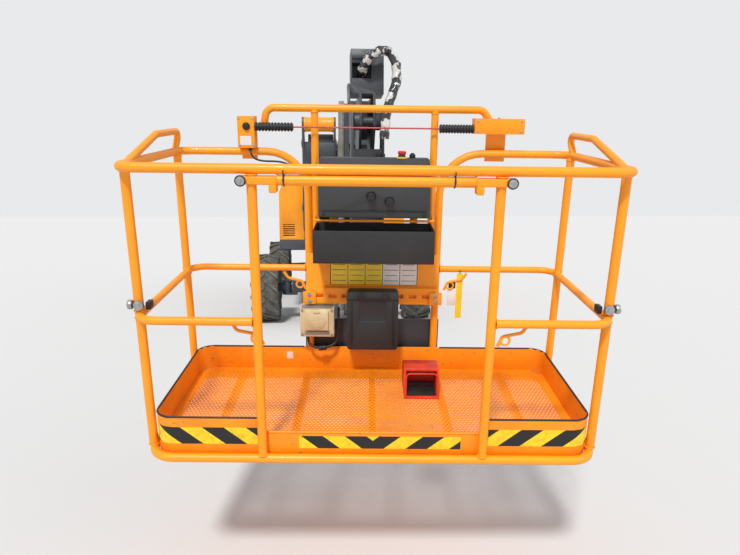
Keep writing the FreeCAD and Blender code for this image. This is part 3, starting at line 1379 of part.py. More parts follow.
leftEnd = size["leftBoxU"] + size["leftBoxWide"] / 2
rightEnd = size["rightBoxU"] - size["rightBoxWide"] / 2
first, last = leftEnd + size["bellowsLeft"], rightEnd - size["bellowsRight"]
redLine = flatBar([Vector(first - 1, guardDeep, guardBar), Vector(last + 1, guardDeep, guardBar)],
                  size["redCable"], int(size["hoseSides"]))
bellows = redLine.fuse([bellowsShape(leftEnd, size["bellowsLeft"]),
                        bellowsShape(rightEnd, -size["bellowsRight"])])
placeInBasket(shaped("shield_bellows", bellows))

gateLevel, sleeveHigh = size["gateBarRise"], size["gateSleeveHigh"]
gateSpan = size["gatePost"] - size["gateSleeveIn"] + 1
gatePieces = [flatBar([Vector(-gateSpan, -deep, gateLevel), Vector(gateSpan, -deep, gateLevel)],
                      size["gateBarRadius"], int(size["barSides"]))]
for hand in (-1, 1):
    post = Vector(hand * size["gatePost"], -deep, gateLevel)
    across = sorted((-hand * size["gateSleeveIn"], hand * size["gateSleeveOut"]))
    sleeve = Part.makeBox(across[1] - across[0], 2 * size["gateSleeveHalf"], sleeveHigh,
                          post + Vector(across[0], -size["gateSleeveHalf"], -sleeveHigh / 2))
    tabEnds = sorted((-hand * size["gateSleeveIn"],
                      -hand * (size["gateSleeveIn"] - size["gateTabWide"])))
    tab = Part.makeBox(tabEnds[1] - tabEnds[0], 2 * size["gateSleeveHalf"], size["gateTabDrop"],
                       post + Vector(tabEnds[0], -size["gateSleeveHalf"], -size["gateTabDrop"]))
    hub = hand * (size["gateSleeveOut"] - size["rollerRadius"] / 2)
    axle = post + Vector(hub, -size["gateSleeveHalf"] + 1, 0)
    roller = flatBar([axle, axle - Vector(0, size["rollerThick"], 0)], size["rollerRadius"],
                     int(size["castSides"]))
    clear = Part.makeCylinder(bar + size["pinClear"], sleeveHigh * 3,
                              post - Vector(0, 0, sleeveHigh * 2))
    gatePieces.append(sleeve.fuse([tab, roller]).cut(clear))
placeInBasket(shaped("gate_bar", gatePieces[0].fuse(gatePieces[1:])))

console = newBody("control_console")
legFace = "(basketDepth / 2 - railRadius - seatGap)"
backWall = "(%s - toeThick - seatGap)" % legFace
desk = [
    (backWall, "consoleLow"), (backWall, "consoleHigh"),
    (backWall + " - consoleDepth / 2", "consoleHigh"),
    (backWall + " - consoleDepth", "consoleHigh - consoleLean"),
    (backWall + " - consoleDepth", "consoleLow"),
]
pad(console, "YZ_Plane", [desk], "consoleHalf * 2")
for u, w in (("-14", "knobLevel"), ("67", "knobLevel - knobRadius * 1.3")):
    pad(console, "XZ_Plane", [facets(u, w, "knobRadius")],
        "knobRadius * 2", backWall + " - consoleDepth - knobRadius + 1")
pad(console, "XY_Plane", [facets("consoleHalf / 2", backWall + " - consoleDepth / 4", "knobRadius")],
    "knobRadius + 2", "consoleHigh + knobRadius / 2")
placeInBasket(console)

tray = newBody("tool_tray")
trayFront = backWall + " - trayDepth"
pad(tray, "XY_Plane", [rect("-trayHalf", "trayHalf", trayFront, backWall)], "trayHigh - trayLow",
    "(trayHigh + trayLow) / 2")
pocket(tray, "XY_Plane", [rect("-trayHalf + trayWall", "trayHalf - trayWall",
                               trayFront + " + trayWall", backWall + " - trayWall")],
       "(trayHigh - trayLow) * 2 - trayWall * 2", "trayHigh")
placeInBasket(tray)

panel = newBody("back_panel")
sheetBack = legFace
pad(panel, "XZ_Plane", [rect("-panelHalfWide", "panelHalfWide", "panelLow", "panelHigh")],
    "toeThick", sheetBack + " - toeThick / 2")
beamLow = "panelLow - slotBeamHigh"
pad(panel, "XZ_Plane", [rect("-panelHalfWide", "panelHalfWide", beamLow, "panelLow + 1")],
    "slotBeamDeep", sheetBack + " - slotBeamDeep / 2")
for side in ("-", ""):
    strap = rect("%sstrapX - railRadius" % side, "%sstrapX + railRadius" % side, "panelLow",
                 "consoleHigh - railRadius")
    pad(panel, "XZ_Plane", [strap], "toeThick", sheetBack + " - toeThick / 2")
slots = []
for k in range(-4, 5):
    centre = "panelHalfWide * %d / 5" % k
    slots.append(rect(centre + " - 18", centre + " + 18", beamLow + " + slotBeamHigh / 2 - 9",
                      beamLow + " + slotBeamHigh / 2 + 9"))
pocket(panel, "XZ_Plane", slots, "slotBeamDeep", sheetBack + " - slotBeamDeep")
placeInBasket(panel)

book = newBody("document_box")
bookBack = sheetBack + " - slotBeamDeep - seatGap"
pad(book, "XZ_Plane", [rect("-bookHalf", "bookHalf", "bookLow", "bookHigh")], "bookDeep",
    bookBack + " - bookDeep / 2")
bookCorner = value("bookDeep")
roundEdges(book, "bookDeep / 4", lambda e: abs(e.Length - bookCorner) < 0.01)
recess = rect("-bookHalf / 2", "bookHalf / 2", "(bookLow + bookHigh) / 2", "bookHigh - bookHalf / 3")
pocket(book, "XZ_Plane", [recess], "seatGap * 20", bookBack + " - bookDeep")
placeInBasket(book)

socket = newBody("socket_box")
pad(socket, "XZ_Plane", [rect("socketU - socketWide / 2", "socketU + socketWide / 2", "socketLow",
                              "socketLow + socketHigh")],
    "socketDeep", legFace + " - socketDeep / 2")
cover = rect("socketU - socketWide / 3", "socketU + socketWide / 3", "socketLow + socketHigh / 4",
             "socketLow + socketHigh * 0.9")
pad(socket, "XZ_Plane", [cover], "socketDeep / 5 + 2", legFace + " - socketDeep * 1.1 + 1")
placeInBasket(socket)

pedal = newBody("foot_pedal")
floorTop = "floorRise + floorThick"
hoodSide = [
    ("-pedalLong / 2", floorTop), ("pedalLong / 2", floorTop),
    ("pedalLong / 2", floorTop + " + pedalHigh * 0.8"),
    ("pedalLong / 4", floorTop + " + pedalHigh"), ("-pedalLong / 4", floorTop + " + pedalHigh"),
    ("-pedalLong / 3", floorTop + " + pedalHigh * 0.55"), ("-pedalLong / 2", floorTop + " + 12"),
]
pad(pedal, "YZ_Plane", [hoodSide], "pedalWide")
opening = rect("-pedalWide / 2 + 10", "pedalWide / 2 - 10", floorTop + " + 10",
               floorTop + " + pedalHigh - 12")
pocket(pedal, "XZ_Plane", [opening], "pedalLong", "-pedalLong * 0.3")
place(pedal)
pedalSpot = basketTurn.multVec(Vector(size["pedalU"], size["pedalV"], 0))
pedal.Placement = Placement(Vector(), basketTurn)
for axis, base, shift in (("x", "basketX", pedalSpot.x), ("y", "slewY + basketY", pedalSpot.y),
                          ("z", "basketZ", pedalSpot.z)):
    bind(pedal, "Placement.Base." + axis, "%s + %.6f" % (base, shift))


# Hoses: a slack bundle looped over the head, then lines clipped down the front of the jib

loopRoute = [(-32, 68, 275), (-30, -18, 282), (-14, -80, 315), (30, -98, 362), (88, -98, 378),
             (136, -94, 352), (158, -92, 296), (160, -98, 228), (144, -110, 160), (114, -118, 92),
             (94, -122, 20), (88, -118, -110)]
hoses = flatBar(bentPath(loopRoute), size["hoseRadius"], int(size["hoseSides"]))
place(shaped("hose_loop", hoses), "boomX", "jibPivotY", "jibPivotZ")
lines = []
for x in (60, 86):
    y = -size["jibDepth"] / 2 - size["lineRadius"] - size["seatGap"]
    foot = -size["jibLength"] * 0.86
    lines.append(flatBar([Vector(x, y, foot), Vector(x, y, foot + size["jibLength"] * 0.72)],
                         size["lineRadius"], int(size["hoseSides"])))
place(shaped("jib_lines", Part.makeCompound(lines)), "boomX", "jibPivotY", "jibPivotZ", tilt)


# Every object must have rebuilt cleanly before a sub-part is written

doc.recompute()
for thing in doc.Objects:
    if "Invalid" in thing.State or "Error" in thing.State:
        raise ValueError("%s did not rebuild: %s" % (thing.Label, thing.State))
for thing in subParts:
    if thing.Shape.isNull() or not thing.Shape.isValid():
        raise ValueError("%s has no valid shape" % thing.Label)
for thing in subParts:
    thing.Shape.exportStep("parts/%s.step" % thing.Label)
whole = Part.makeCompound([thing.Shape for thing in subParts]).BoundBox
print("nodes", len(subParts), "box", [round(v, 2) for v in (whole.XMin, whole.XMax, whole.YMin,
                                                            whole.YMax, whole.ZMin, whole.ZMax)])
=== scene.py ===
import json
import math
import bpy
from mathutils import Matrix, Vector


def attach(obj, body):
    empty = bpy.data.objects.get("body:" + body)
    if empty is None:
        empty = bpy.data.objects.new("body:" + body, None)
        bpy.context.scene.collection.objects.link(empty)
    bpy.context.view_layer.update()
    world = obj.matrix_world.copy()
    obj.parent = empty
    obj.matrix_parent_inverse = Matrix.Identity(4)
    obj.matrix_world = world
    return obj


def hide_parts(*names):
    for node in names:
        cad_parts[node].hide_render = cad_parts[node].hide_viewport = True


# An articulating boom lift seen from in front of its basket. Metres; -Y is the basket end.

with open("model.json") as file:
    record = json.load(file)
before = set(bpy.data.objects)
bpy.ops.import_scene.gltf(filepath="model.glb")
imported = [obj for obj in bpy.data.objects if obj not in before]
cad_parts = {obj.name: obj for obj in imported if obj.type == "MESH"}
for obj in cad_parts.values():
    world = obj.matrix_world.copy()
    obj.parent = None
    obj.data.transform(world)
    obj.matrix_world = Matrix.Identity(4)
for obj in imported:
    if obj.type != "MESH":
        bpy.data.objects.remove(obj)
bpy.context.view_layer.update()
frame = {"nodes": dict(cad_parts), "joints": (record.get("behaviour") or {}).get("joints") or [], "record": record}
bpy.ops.object.select_all(action="DESELECT")
nodes = frame["nodes"]
joints = {joint["name"]: joint for joint in frame["joints"]}

# The basket's own axes: u across, v towards the boom, w up, from the middle of its floor ring
seat = {"x": -0.0146, "y": -4.0066, "z": 0.675, "tilt": 9, "yaw": -4,
        "halfWidth": 0.88, "halfDepth": 0.38, "tube": 0.018, "top": 1.125, "toeInset": 0.0189,
        "corner": 0.095, "gatePost": 0.43, "backPost": 0.31}
seatPlace = Matrix.Translation((seat["x"], seat["y"], seat["z"]))
seatTurn = (Matrix.Rotation(math.radians(seat["tilt"]), 4, "X")
            @ Matrix.Rotation(math.radians(seat["yaw"]), 4, "Z"))
inBasket = seatPlace @ seatTurn
outFront, up = Vector((0, -1, 0)), Vector((0, 0, 1))


# Finishes

def hexColour(text):
    channels = [int(text[i:i + 2], 16) / 255 for i in (1, 3, 5)]
    linear = [c / 12.92 if c <= 0.04045 else ((c + 0.055) / 1.055) ** 2.4 for c in channels]
    return (*linear, 1.0)


def addNode(material, kind, values=None, links=None, **settings):
    node = material.node_tree.nodes.new(kind)
    for name, setting in settings.items():
        setattr(node, name, setting)
    for socket, number in (values or {}).items():
        node.inputs[socket].default_value = number
    for socket, source in (links or {}).items():
        material.node_tree.links.new(source, node.inputs[socket])
    return node


def setStops(ramp, *stops):
    for element, (position, colour) in zip(ramp.color_ramp.elements, stops):
        element.position, element.color = position, hexColour(colour)


def coatedSurface(name, tones, cloudMm, grainMm, bumpMm, rough, metallic=0.0, coat=0.0, specks=None):
    # Two tones in soft clouds, a grain that breaks up the gloss, and specks of another colour
    pattern = {"dark": 0.36, "light": 0.66, "speckEdge": 0.03, "bump": 0.6}
    material = bpy.data.materials.new(name)
    material.use_nodes = True
    shader = material.node_tree.nodes["Principled BSDF"]
    shader.inputs["Metallic"].default_value = metallic
    shader.inputs["Coat Weight"].default_value = coat
    place = addNode(material, "ShaderNodeTexCoord").outputs["Object"]
    clouds = addNode(material, "ShaderNodeTexNoise", {"Scale": 1000 / cloudMm, "Detail": 7.0,
                                                      "Roughness": 0.62}, {"Vector": place})
    ramp = addNode(material, "ShaderNodeValToRGB", links={"Fac": clouds.outputs["Fac"]})
    setStops(ramp, (pattern["dark"], tones[0]), (pattern["light"], tones[1]))
    colour = ramp.outputs["Color"]
    if specks:
        dots = addNode(material, "ShaderNodeTexNoise", {"Scale": 1000 / specks[1], "Detail": 4.0},
                       {"Vector": place})
        mask = addNode(material, "ShaderNodeValToRGB", links={"Fac": dots.outputs["Fac"]})
        setStops(mask, (specks[2], "#000000"), (specks[2] + pattern["speckEdge"], "#FFFFFF"))
        paint = addNode(material, "ShaderNodeMixRGB", {"Color2": hexColour(specks[0])},
                        {"Fac": mask.outputs["Color"], "Color1": colour})
        colour = paint.outputs["Color"]
    material.node_tree.links.new(colour, shader.inputs["Base Color"])
    grain = addNode(material, "ShaderNodeTexNoise", {"Scale": 1000 / grainMm, "Detail": 3.0},
                    {"Vector": place})
    gloss = addNode(material, "ShaderNodeMapRange", {"To Min": rough[0], "To Max": rough[1]},
                    {"Value": clouds.outputs["Fac"]})
    material.node_tree.links.new(gloss.outputs["Result"], shader.inputs["Roughness"])
    bump = addNode(material, "ShaderNodeBump", {"Strength": pattern["bump"],
                                                   "Distance": bumpMm / 1000},
                   {"Height": grain.outputs["Fac"]})
    material.node_tree.links.new(bump.outputs["Normal"], shader.inputs["Normal"])
    return material


# Each finish is named for its material and how the surface was made
finishes = {
    # Polyester powder baked on steel tube: half gloss, slight orange peel
    "powderCoatAmber": coatedSurface("powderCoatAmber", ("#FFA206", "#FA9604"), 300, 3, 0.10,
                                     (0.36, 0.50), coat=0.06, specks=("#C27C12", 9, 0.71)),
    # The same coat on the walked and kicked boards: duller, with scuffs
    "powderCoatScuffed": coatedSurface("powderCoatScuffed", ("#FF9604", "#F08704"), 160, 4, 0.15,
                                       (0.42, 0.60), specks=("#A8712A", 14, 0.66)),
    # Moulded glass fibre with gelcoat: smooth, high gloss
    "gelcoatAmber": coatedSurface("gelcoatAmber", ("#FFA008", "#F89404"), 500, 6, 0.08,
                                  (0.26, 0.38), coat=0.15),
    # Two-pack enamel on welded plate: dark charcoal, satin, dusty in patches
    "enamelCharcoal": coatedSurface("enamelCharcoal", ("#33373C", "#3F4347"), 350, 3, 0.12,
                                    (0.38, 0.55), specks=("#6B675F", 11, 0.71)),
    # Cast iron under thick satin paint: pitted and matte
    "paintedCasting": coatedSurface("paintedCasting", ("#2C3034", "#3A3D40"), 240, 6, 0.5,
                                    (0.55, 0.72), specks=("#56524C", 12, 0.68)),
    # Pressed wheel steel in light grey enamel, grey with road dust
    "enamelWheelGrey": coatedSurface("enamelWheelGrey", ("#8E8F8C", "#77766F"), 140, 3, 0.15,
                                     (0.45, 0.65), specks=("#5A554C", 10, 0.64)),
    # Vulcanised natural rubber, dried grey by dust
    "tyreRubberDusty": coatedSurface("tyreRubberDusty", ("#45453F", "#6A675F"), 90, 5, 0.6,
                                     (0.80, 0.95), specks=("#7D7869", 16, 0.62)),
    # Extruded hose rubber: black with a dull sheen
    "hoseRubber": coatedSurface("hoseRubber", ("#17181A", "#222326"), 60, 3, 0.2, (0.42, 0.6)),
    # Textured polypropylene moulding: black, fine leather grain
    "mouldedPolypropylene": coatedSurface("mouldedPolypropylene", ("#1F2123", "#2A2B2D"), 200, 1.6,
                                          0.25, (0.50, 0.66)),
    # Structural foam housing of the controls: charcoal with a matt spray grain
    "sprayedHousing": coatedSurface("sprayedHousing", ("#36393C", "#303335"), 260, 2, 0.2,
                                    (0.48, 0.62)),
    # Glass-filled ABS: warm beige, slightly dirty
    "mouldedAbsBeige": coatedSurface("mouldedAbsBeige", ("#D9C9A2", "#C8B68C"), 60, 2, 0.1,
                                     (0.42, 0.6), specks=("#8B7A58", 6, 0.68)),
    "mouldedAbsGrey": coatedSurface("mouldedAbsGrey", ("#8A8780", "#6F6C66"), 40, 2, 0.1,
                                    (0.42, 0.6)),
    # Die-cast pedal guard in red paint, rubbed by boots
    "castRedPaint": coatedSurface("castRedPaint", ("#E2401E", "#C22E17"), 60, 3, 0.2, (0.35, 0.55),
                                  specks=("#7A3226", 7, 0.68)),
    "mouldedRedKnob": coatedSurface("mouldedRedKnob", ("#D0241B", "#C01D16"), 30, 2, 0.05,
                                    (0.25, 0.35)),
    # Hard chrome on ground steel rod: mirror with faint draw lines
    "hardChrome": coatedSurface("hardChrome", ("#D8DADC", "#C9CCCF"), 80, 2, 0.02, (0.06, 0.14),
                                metallic=1.0),
    # Zinc plate on pressed fittings: pale grey, cloudy
    "zincPlate": coatedSurface("zincPlate", ("#B9BABB", "#96989A"), 25, 2, 0.06, (0.28, 0.46),
                               metallic=0.85),
    # Machined bearing ring with dark grease in its corners
    "greasedSteel": coatedSurface("greasedSteel", ("#6C6A66", "#3A3732"), 70, 3, 0.1, (0.3, 0.6),
                                  metallic=0.8),
    # Vinyl film with a blank face
    "vinylYellow": coatedSurface("vinylYellow", ("#F3D21E", "#E8C51A"), 120, 2, 0.02, (0.3, 0.42)),
    "vinylWhite": coatedSurface("vinylWhite", ("#E9E6E2", "#DAD6D2"), 90, 2, 0.02, (0.3, 0.42)),
    "vinylBlack": coatedSurface("vinylBlack", ("#1A1A1B", "#202021"), 90, 2, 0.02, (0.3, 0.42)),
    # Nylon tie and red pull cable
    "mouldedNylon": coatedSurface("mouldedNylon", ("#161617", "#1E1E20"), 20, 1, 0.05, (0.4, 0.5)),
    "sheathedCableRed": coatedSurface("sheathedCableRed", ("#C4524A", "#B0443E"), 20, 1, 0.05,
                                      (0.4, 0.5)),
}


def hazardFilm():
    # Black and yellow vinyl in leaning bars that meet in a V at the basket's middle
    film = {"pitch": 0.172, "lean": 1.25, "share": 0.5, "wornMm": 17, "fresh": 0.4, "faded": 0.75}
    material = bpy.data.materials.new("vinylHazardStripes")
    material.use_nodes = True
    shader = material.node_tree.nodes["Principled BSDF"]
    shader.inputs["Roughness"].default_value = 0.36
    place = addNode(material, "ShaderNodeTexCoord").outputs["Object"]
    turned = addNode(material, "ShaderNodeMapping", {
        "Location": seatPlace.to_translation(), "Rotation": seatTurn.to_euler()},
        {"Vector": place}, vector_type="TEXTURE")
    axes = addNode(material, "ShaderNodeSeparateXYZ", links={"Vector": turned.outputs["Vector"]})
    across = addNode(material, "ShaderNodeMath", links={0: axes.outputs["X"]}, operation="ABSOLUTE")
    leaned = addNode(material, "ShaderNodeMath", {1: -film["lean"]},
                     {0: axes.outputs["Z"], 2: across.outputs[0]}, operation="MULTIPLY_ADD")
    turns = addNode(material, "ShaderNodeMath", {1: film["pitch"]}, {0: leaned.outputs[0]},
                    operation="DIVIDE")
    part = addNode(material, "ShaderNodeMath", links={0: turns.outputs[0]}, operation="FRACT")
    bars = addNode(material, "ShaderNodeMath", {1: film["share"]}, {0: part.outputs[0]},
                   operation="GREATER_THAN")
    wear = addNode(material, "ShaderNodeTexNoise", {"Scale": 1000 / film["wornMm"], "Detail": 6.0},
                   {"Vector": place})
    worn = addNode(material, "ShaderNodeValToRGB", links={"Fac": wear.outputs["Fac"]})
    setStops(worn, (film["fresh"], "#F6D413"), (film["faded"], "#DDB512"))
    paint = addNode(material, "ShaderNodeMixRGB", {"Color2": hexColour("#151516")},
                    {"Fac": bars.outputs[0], "Color1": worn.outputs["Color"]})
    material.node_tree.links.new(paint.outputs["Color"], shader.inputs["Base Color"])
    return material


finishes["vinylHazardStripes"] = hazardFilm()
print("finishes ready")


# Modelling helpers

def select(*things):
    bpy.ops.object.select_all(action="DESELECT")
    for thing in things:
        thing.select_set(True)
    bpy.context.view_layer.objects.active = things[0]


def edit(thing, *steps):
    select(thing)
    bpy.ops.object.mode_set(mode="EDIT")
    bpy.ops.mesh.select_all(action="SELECT")
    for step in steps:
        step()
    bpy.ops.object.mode_set(mode="OBJECT")


def useModifier(thing, kind, **settings):
    select(thing)
    modifier = thing.modifiers.new(kind.title(), kind)
    for name, setting in settings.items():
        setattr(modifier, name, setting)
    bpy.ops.object.modifier_apply(modifier=modifier.name)


def addBlock(centre, dimensions, bevel=0.0, segments=2):
    bpy.ops.mesh.primitive_cube_add(size=1, location=centre)
    block = bpy.context.active_object
    block.scale = dimensions
    bpy.ops.object.transform_apply(location=True, rotation=True, scale=True)
    if bevel:
        useModifier(block, "BEVEL", width=bevel, segments=segments, limit_method="ANGLE")
    return block


def addRod(start, end, radius, sides=16, bevel=0.0):
    start, end = Vector(start), Vector(end)
    along = end - start
    bpy.ops.mesh.primitive_cylinder_add(vertices=sides, radius=radius, depth=along.length,
                                        location=(start + end) / 2,
                                        rotation=along.to_track_quat("Z", "Y").to_euler())
    rod = bpy.context.active_object
    bpy.ops.object.transform_apply(location=True, rotation=True, scale=True)
    if bevel:
        useModifier(rod, "BEVEL", width=bevel, segments=2, limit_method="ANGLE",
                    angle_limit=math.radians(60))
    return rod


def linked(name, data):
    thing = bpy.data.objects.new(name, data)
    bpy.context.scene.collection.objects.link(thing)
    return thing


def addRun(kind, path, radius, sides, closed=False, **settings):
    # A round section along one spline, made a mesh
    curve = bpy.data.curves.new("run", "CURVE")
    curve.dimensions = "3D"
    curve.bevel_depth, curve.bevel_resolution, curve.use_fill_caps = radius, sides, True
    spline = curve.splines.new(kind)
    spline.points.add(len(path) - 1)
    for spot, point in zip(spline.points, path):
        spot.co = (*point, 1.0)
    spline.use_cyclic_u = closed
    for name, setting in settings.items():
        setattr(spline, name, setting)
    select(linked("run", curve))
    bpy.ops.object.convert(target="MESH")
    return bpy.context.active_object


def addSweep(points, radius, resolution=6, sides=3):
    # A smooth hose or lead through given points
    return addRun("NURBS", points, radius, sides, use_endpoint_u=True, order_u=3,
                  resolution_u=resolution)


def addTube(points, radius, bend=0.0, closed=False, sides=4, steps=8):
    # A drawn tube: straight runs joined by arcs of one bend radius, or of a list of them
    spots = [Vector(p) for p in points]
    bends = bend if isinstance(bend, list) else [bend] * (len(spots) + 1)
    path = [] if closed else [spots[0]]
    count = len(spots)
    corners = range(count) if closed else range(1, count - 1)
    for k in corners:
        before, corner, after = spots[k - 1], spots[k], spots[(k + 1) % count]
        inward, outward = (corner - before).normalized(), (after - corner).normalized()
        turn, bend = inward.angle(outward), bends[k if closed else k - 1]
        centre = corner + (outward - inward).normalized() * (bend / math.cos(turn / 2))
        arm = corner - inward * (bend * math.tan(turn / 2)) - centre
        for step in range(steps + 1):
            path.append(centre + Matrix.Rotation(turn * step / steps, 3, inward.cross(outward)) @ arm)
    if not closed:
        path.append(spots[-1])
    return addRun("POLY", path, radius, sides, closed)


def addRing(centre, along, major, minor, around=24, section=8):
    bpy.ops.mesh.primitive_torus_add(location=centre, major_radius=major, minor_radius=minor,
                                     major_segments=around, minor_segments=section,
                                     rotation=Vector(along).to_track_quat("Z", "Y").to_euler())
    ring = bpy.context.active_object
    bpy.ops.object.transform_apply(location=True, rotation=True, scale=True)
    return ring


def addBolt(head, along, radius=0.009, washer=True):
    # A hexagon head with eased corners on a washer
    head, along = Vector(head), Vector(along).normalized()
    parts = [addRod(head, head + along * radius * 0.8, radius, 6, radius * 0.12)]
    if washer:
        parts.append(addRod(head - along * radius * 0.05, head + along * radius * 0.22,
                            radius * 1.5, 18, radius * 0.08))
    return joined(parts)


def addBolts(face, across, levels, radius, washer=True):
    # Bolt heads in rows on a face that looks forward
    return [addBolt((u, face, w), outFront, radius, washer) for u in across for w in levels]


def addPlate(outline, thick, along, bevel=0.001):
    # A flat plate from its outline in space, thickened along a direction
    mesh = bpy.data.meshes.new("plate")
    mesh.from_pydata([tuple(p) for p in outline], [], [list(range(len(outline)))])
    plate = linked("plate", mesh)
    shift = Vector(along).normalized() * thick
    edit(plate, lambda: bpy.ops.mesh.extrude_region_move(
        TRANSFORM_OT_translate={"value": tuple(shift)}),
         lambda: bpy.ops.mesh.select_all(action="SELECT"),
         lambda: bpy.ops.mesh.normals_make_consistent(inside=False))
    if bevel:
        useModifier(plate, "BEVEL", width=bevel, segments=2, limit_method="ANGLE")
    return plate


def joined(things):
    select(*things)
    if len(things) > 1:
        bpy.ops.object.join()
    return bpy.context.active_object


def finishPiece(things, name, finish, body, place=None, smooth=35):
    # A piece or its parts become one mesh at its place, with its finish, on the body that carries it
    thing = joined(things) if isinstance(things, list) else things
    if place is not None:
        thing.data.transform(place)
    thing.name, thing.data.name = name, name
    thing.data.materials.clear()
    thing.data.materials.append(finishes[finish])
    if smooth:
        select(thing)
        bpy.ops.object.shade_smooth_by_angle(angle=math.radians(smooth))
    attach(thing, body)
    bpy.ops.object.select_all(action="DESELECT")
    return thing


def basketPiece(things, name, finish, smooth=35):
    return finishPiece(things, name, finish, "basket", inBasket, smooth)


def bodyOf(nodeName):
    groups = frame["record"]["behaviour"]["bodies"]
    return next(body for body, members in groups.items() if nodeName in members)


def dressNode(nodeName, finish, bevel=0.0, smooth=35, segments=2):
    # The node's own shape with its facets merged, its edges eased and its faces shaded smooth
    twin = linked(nodeName + "_shell", nodes[nodeName].data.copy())
    edit(twin, lambda: bpy.ops.mesh.remove_doubles(threshold=0.00002),
         lambda: bpy.ops.mesh.dissolve_limited(angle_limit=math.radians(1)))
    if bevel:
        useModifier(twin, "BEVEL", width=bevel, segments=segments, limit_method="ANGLE",
                    angle_limit=math.radians(40), use_clamp_overlap=True, miter_outer="MITER_ARC")
    finishPiece(twin, nodeName + "_shell", finish, bodyOf(nodeName), smooth=smooth)
    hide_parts(nodeName)
    return twin


# The frame's own pieces with their finishes

shells = {
    "powderCoatAmber": {"back_panel": 0.002, "shield_boxes": 0.004, "knuckle_drum": 0.004},
    "powderCoatScuffed": {"toe_boards": 0.0015},
    "gelcoatAmber": {"hood_left": 0.004, "hood_right": 0.004},
    "enamelCharcoal": {"chassis_frame": 0.005, "front_axle": 0.004, "rear_axle": 0.004,
                       "steering_knuckle_left": 0.003, "steering_knuckle_right": 0.003,
                       "turret_frame": 0.003, "lower_arm": 0.006, "lower_link": 0.003,
                       "mid_knuckle": 0.004, "upper_arm": 0.006, "upper_link": 0.003,
                       "top_knuckle": 0.004, "arm_cylinder_barrel": 0.003,
                       "boom_cylinder_barrel": 0.003, "boom_outer": 0.005, "boom_fly": 0.005,
                       "boom_head": 0.003, "jib": 0.004, "jib_cylinder_barrel": 0.002,
                       "jib_yoke": 0.003, "basket_mount": 0.003, "basket_bracket": 0.002},
    "paintedCasting": {"counterweight": 0.018, "engine_block": 0.01},
    "enamelWheelGrey": {"rim_front_left": 0.003, "rim_front_right": 0.003, "rim_rear_left": 0.003,
                        "rim_rear_right": 0.003, "jib_tie_rod": 0.001},
    "tyreRubberDusty": {"tyre_front_left": 0, "tyre_front_right": 0, "tyre_rear_left": 0,
                        "tyre_rear_right": 0},
    "greasedSteel": {"slew_ring": 0.003},
    "hoseRubber": {"jib_lines": 0},
    "hardChrome": {"arm_cylinder_rod": 0.001, "boom_cylinder_rod": 0.001,
                   "jib_cylinder_rod": 0.001},
    "sprayedHousing": {"control_console": 0.008},
    "mouldedPolypropylene": {"tool_tray": 0.0015, "document_box": 0.004},
    "mouldedAbsBeige": {"socket_box": 0.004},
    "castRedPaint": {"foot_pedal": 0.004},
}
for finish, members in shells.items():
    for nodeName, bevel in members.items():
        dressNode(nodeName, finish, bevel)
print("frame dressed")


# Basket floor: punched sheet on cross bars

def punchedFloor():
    floor = {"pitch": 0.017, "hole": 0.0056, "thick": 0.003, "low": 0.044, "edge": 0.026,
             "halfWidth": 0.855, "halfDepth": 0.355, "bars": 5, "barWide": 0.03}
    pitch = floor["pitch"]
    bpy.ops.mesh.primitive_circle_add(vertices=6, radius=pitch / math.sqrt(3), fill_type="NGON")
    sheet = bpy.context.active_object
    share = floor["hole"] / (pitch / math.sqrt(3))
    edit(sheet, lambda: bpy.ops.mesh.inset(thickness=(pitch / math.sqrt(3)) * (1 - share) * 0.866),
         lambda: bpy.ops.mesh.delete(type="FACE"))
    rowsUp = math.sqrt(3) * pitch
    useModifier(sheet, "ARRAY", count=2, use_relative_offset=False, use_constant_offset=True,
                constant_offset_displace=(pitch / 2, rowsUp / 2, 0))
    across = int(2 * (floor["halfWidth"] - floor["edge"]) / pitch)
    along = int(2 * (floor["halfDepth"] - floor["edge"]) / rowsUp)
    useModifier(sheet, "ARRAY", count=across, use_relative_offset=False, use_constant_offset=True,
                constant_offset_displace=(pitch, 0, 0))
    useModifier(sheet, "ARRAY", count=along, use_relative_offset=False, use_constant_offset=True,
                constant_offset_displace=(0, rowsUp, 0))
    edit(sheet, lambda: bpy.ops.mesh.remove_doubles(threshold=0.0001))
    useModifier(sheet, "SOLIDIFY", thickness=floor["thick"], offset=1)
    shift = Matrix.Translation((-across * pitch / 2, -along * rowsUp / 2 + rowsUp / 4,
                                floor["low"] + floor["thick"]))
    sheet.data.transform(shift)
    parts = [sheet]
    wide, deep, edge = floor["halfWidth"], floor["halfDepth"], floor["edge"] + 0.012
    level = floor["low"] + 0.0035
    high = 0.007
    for side in (-1, 1):
        parts += [addBlock((0, side * (deep - edge / 2), level), (2 * wide - 0.1, edge, high), 0.001),
                  addBlock((side * (wide - edge / 2), 0, level), (edge, 2 * deep - 0.1, high), 0.001)]
    for k in range(floor["bars"]):
        u = (k - (floor["bars"] - 1) / 2) * 0.32
        parts.append(addBlock((u, 0, floor["low"] / 2 + 0.002), (floor["barWide"], 2 * deep - 0.02,
                                                                 floor["low"] - 0.006), 0.002))
    whole = basketPiece(parts, "punched_floor", "powderCoatScuffed", 0)
    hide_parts("basket_floor")


punchedFloor()
print("floor punched")


# Basket frame: bent and welded tube

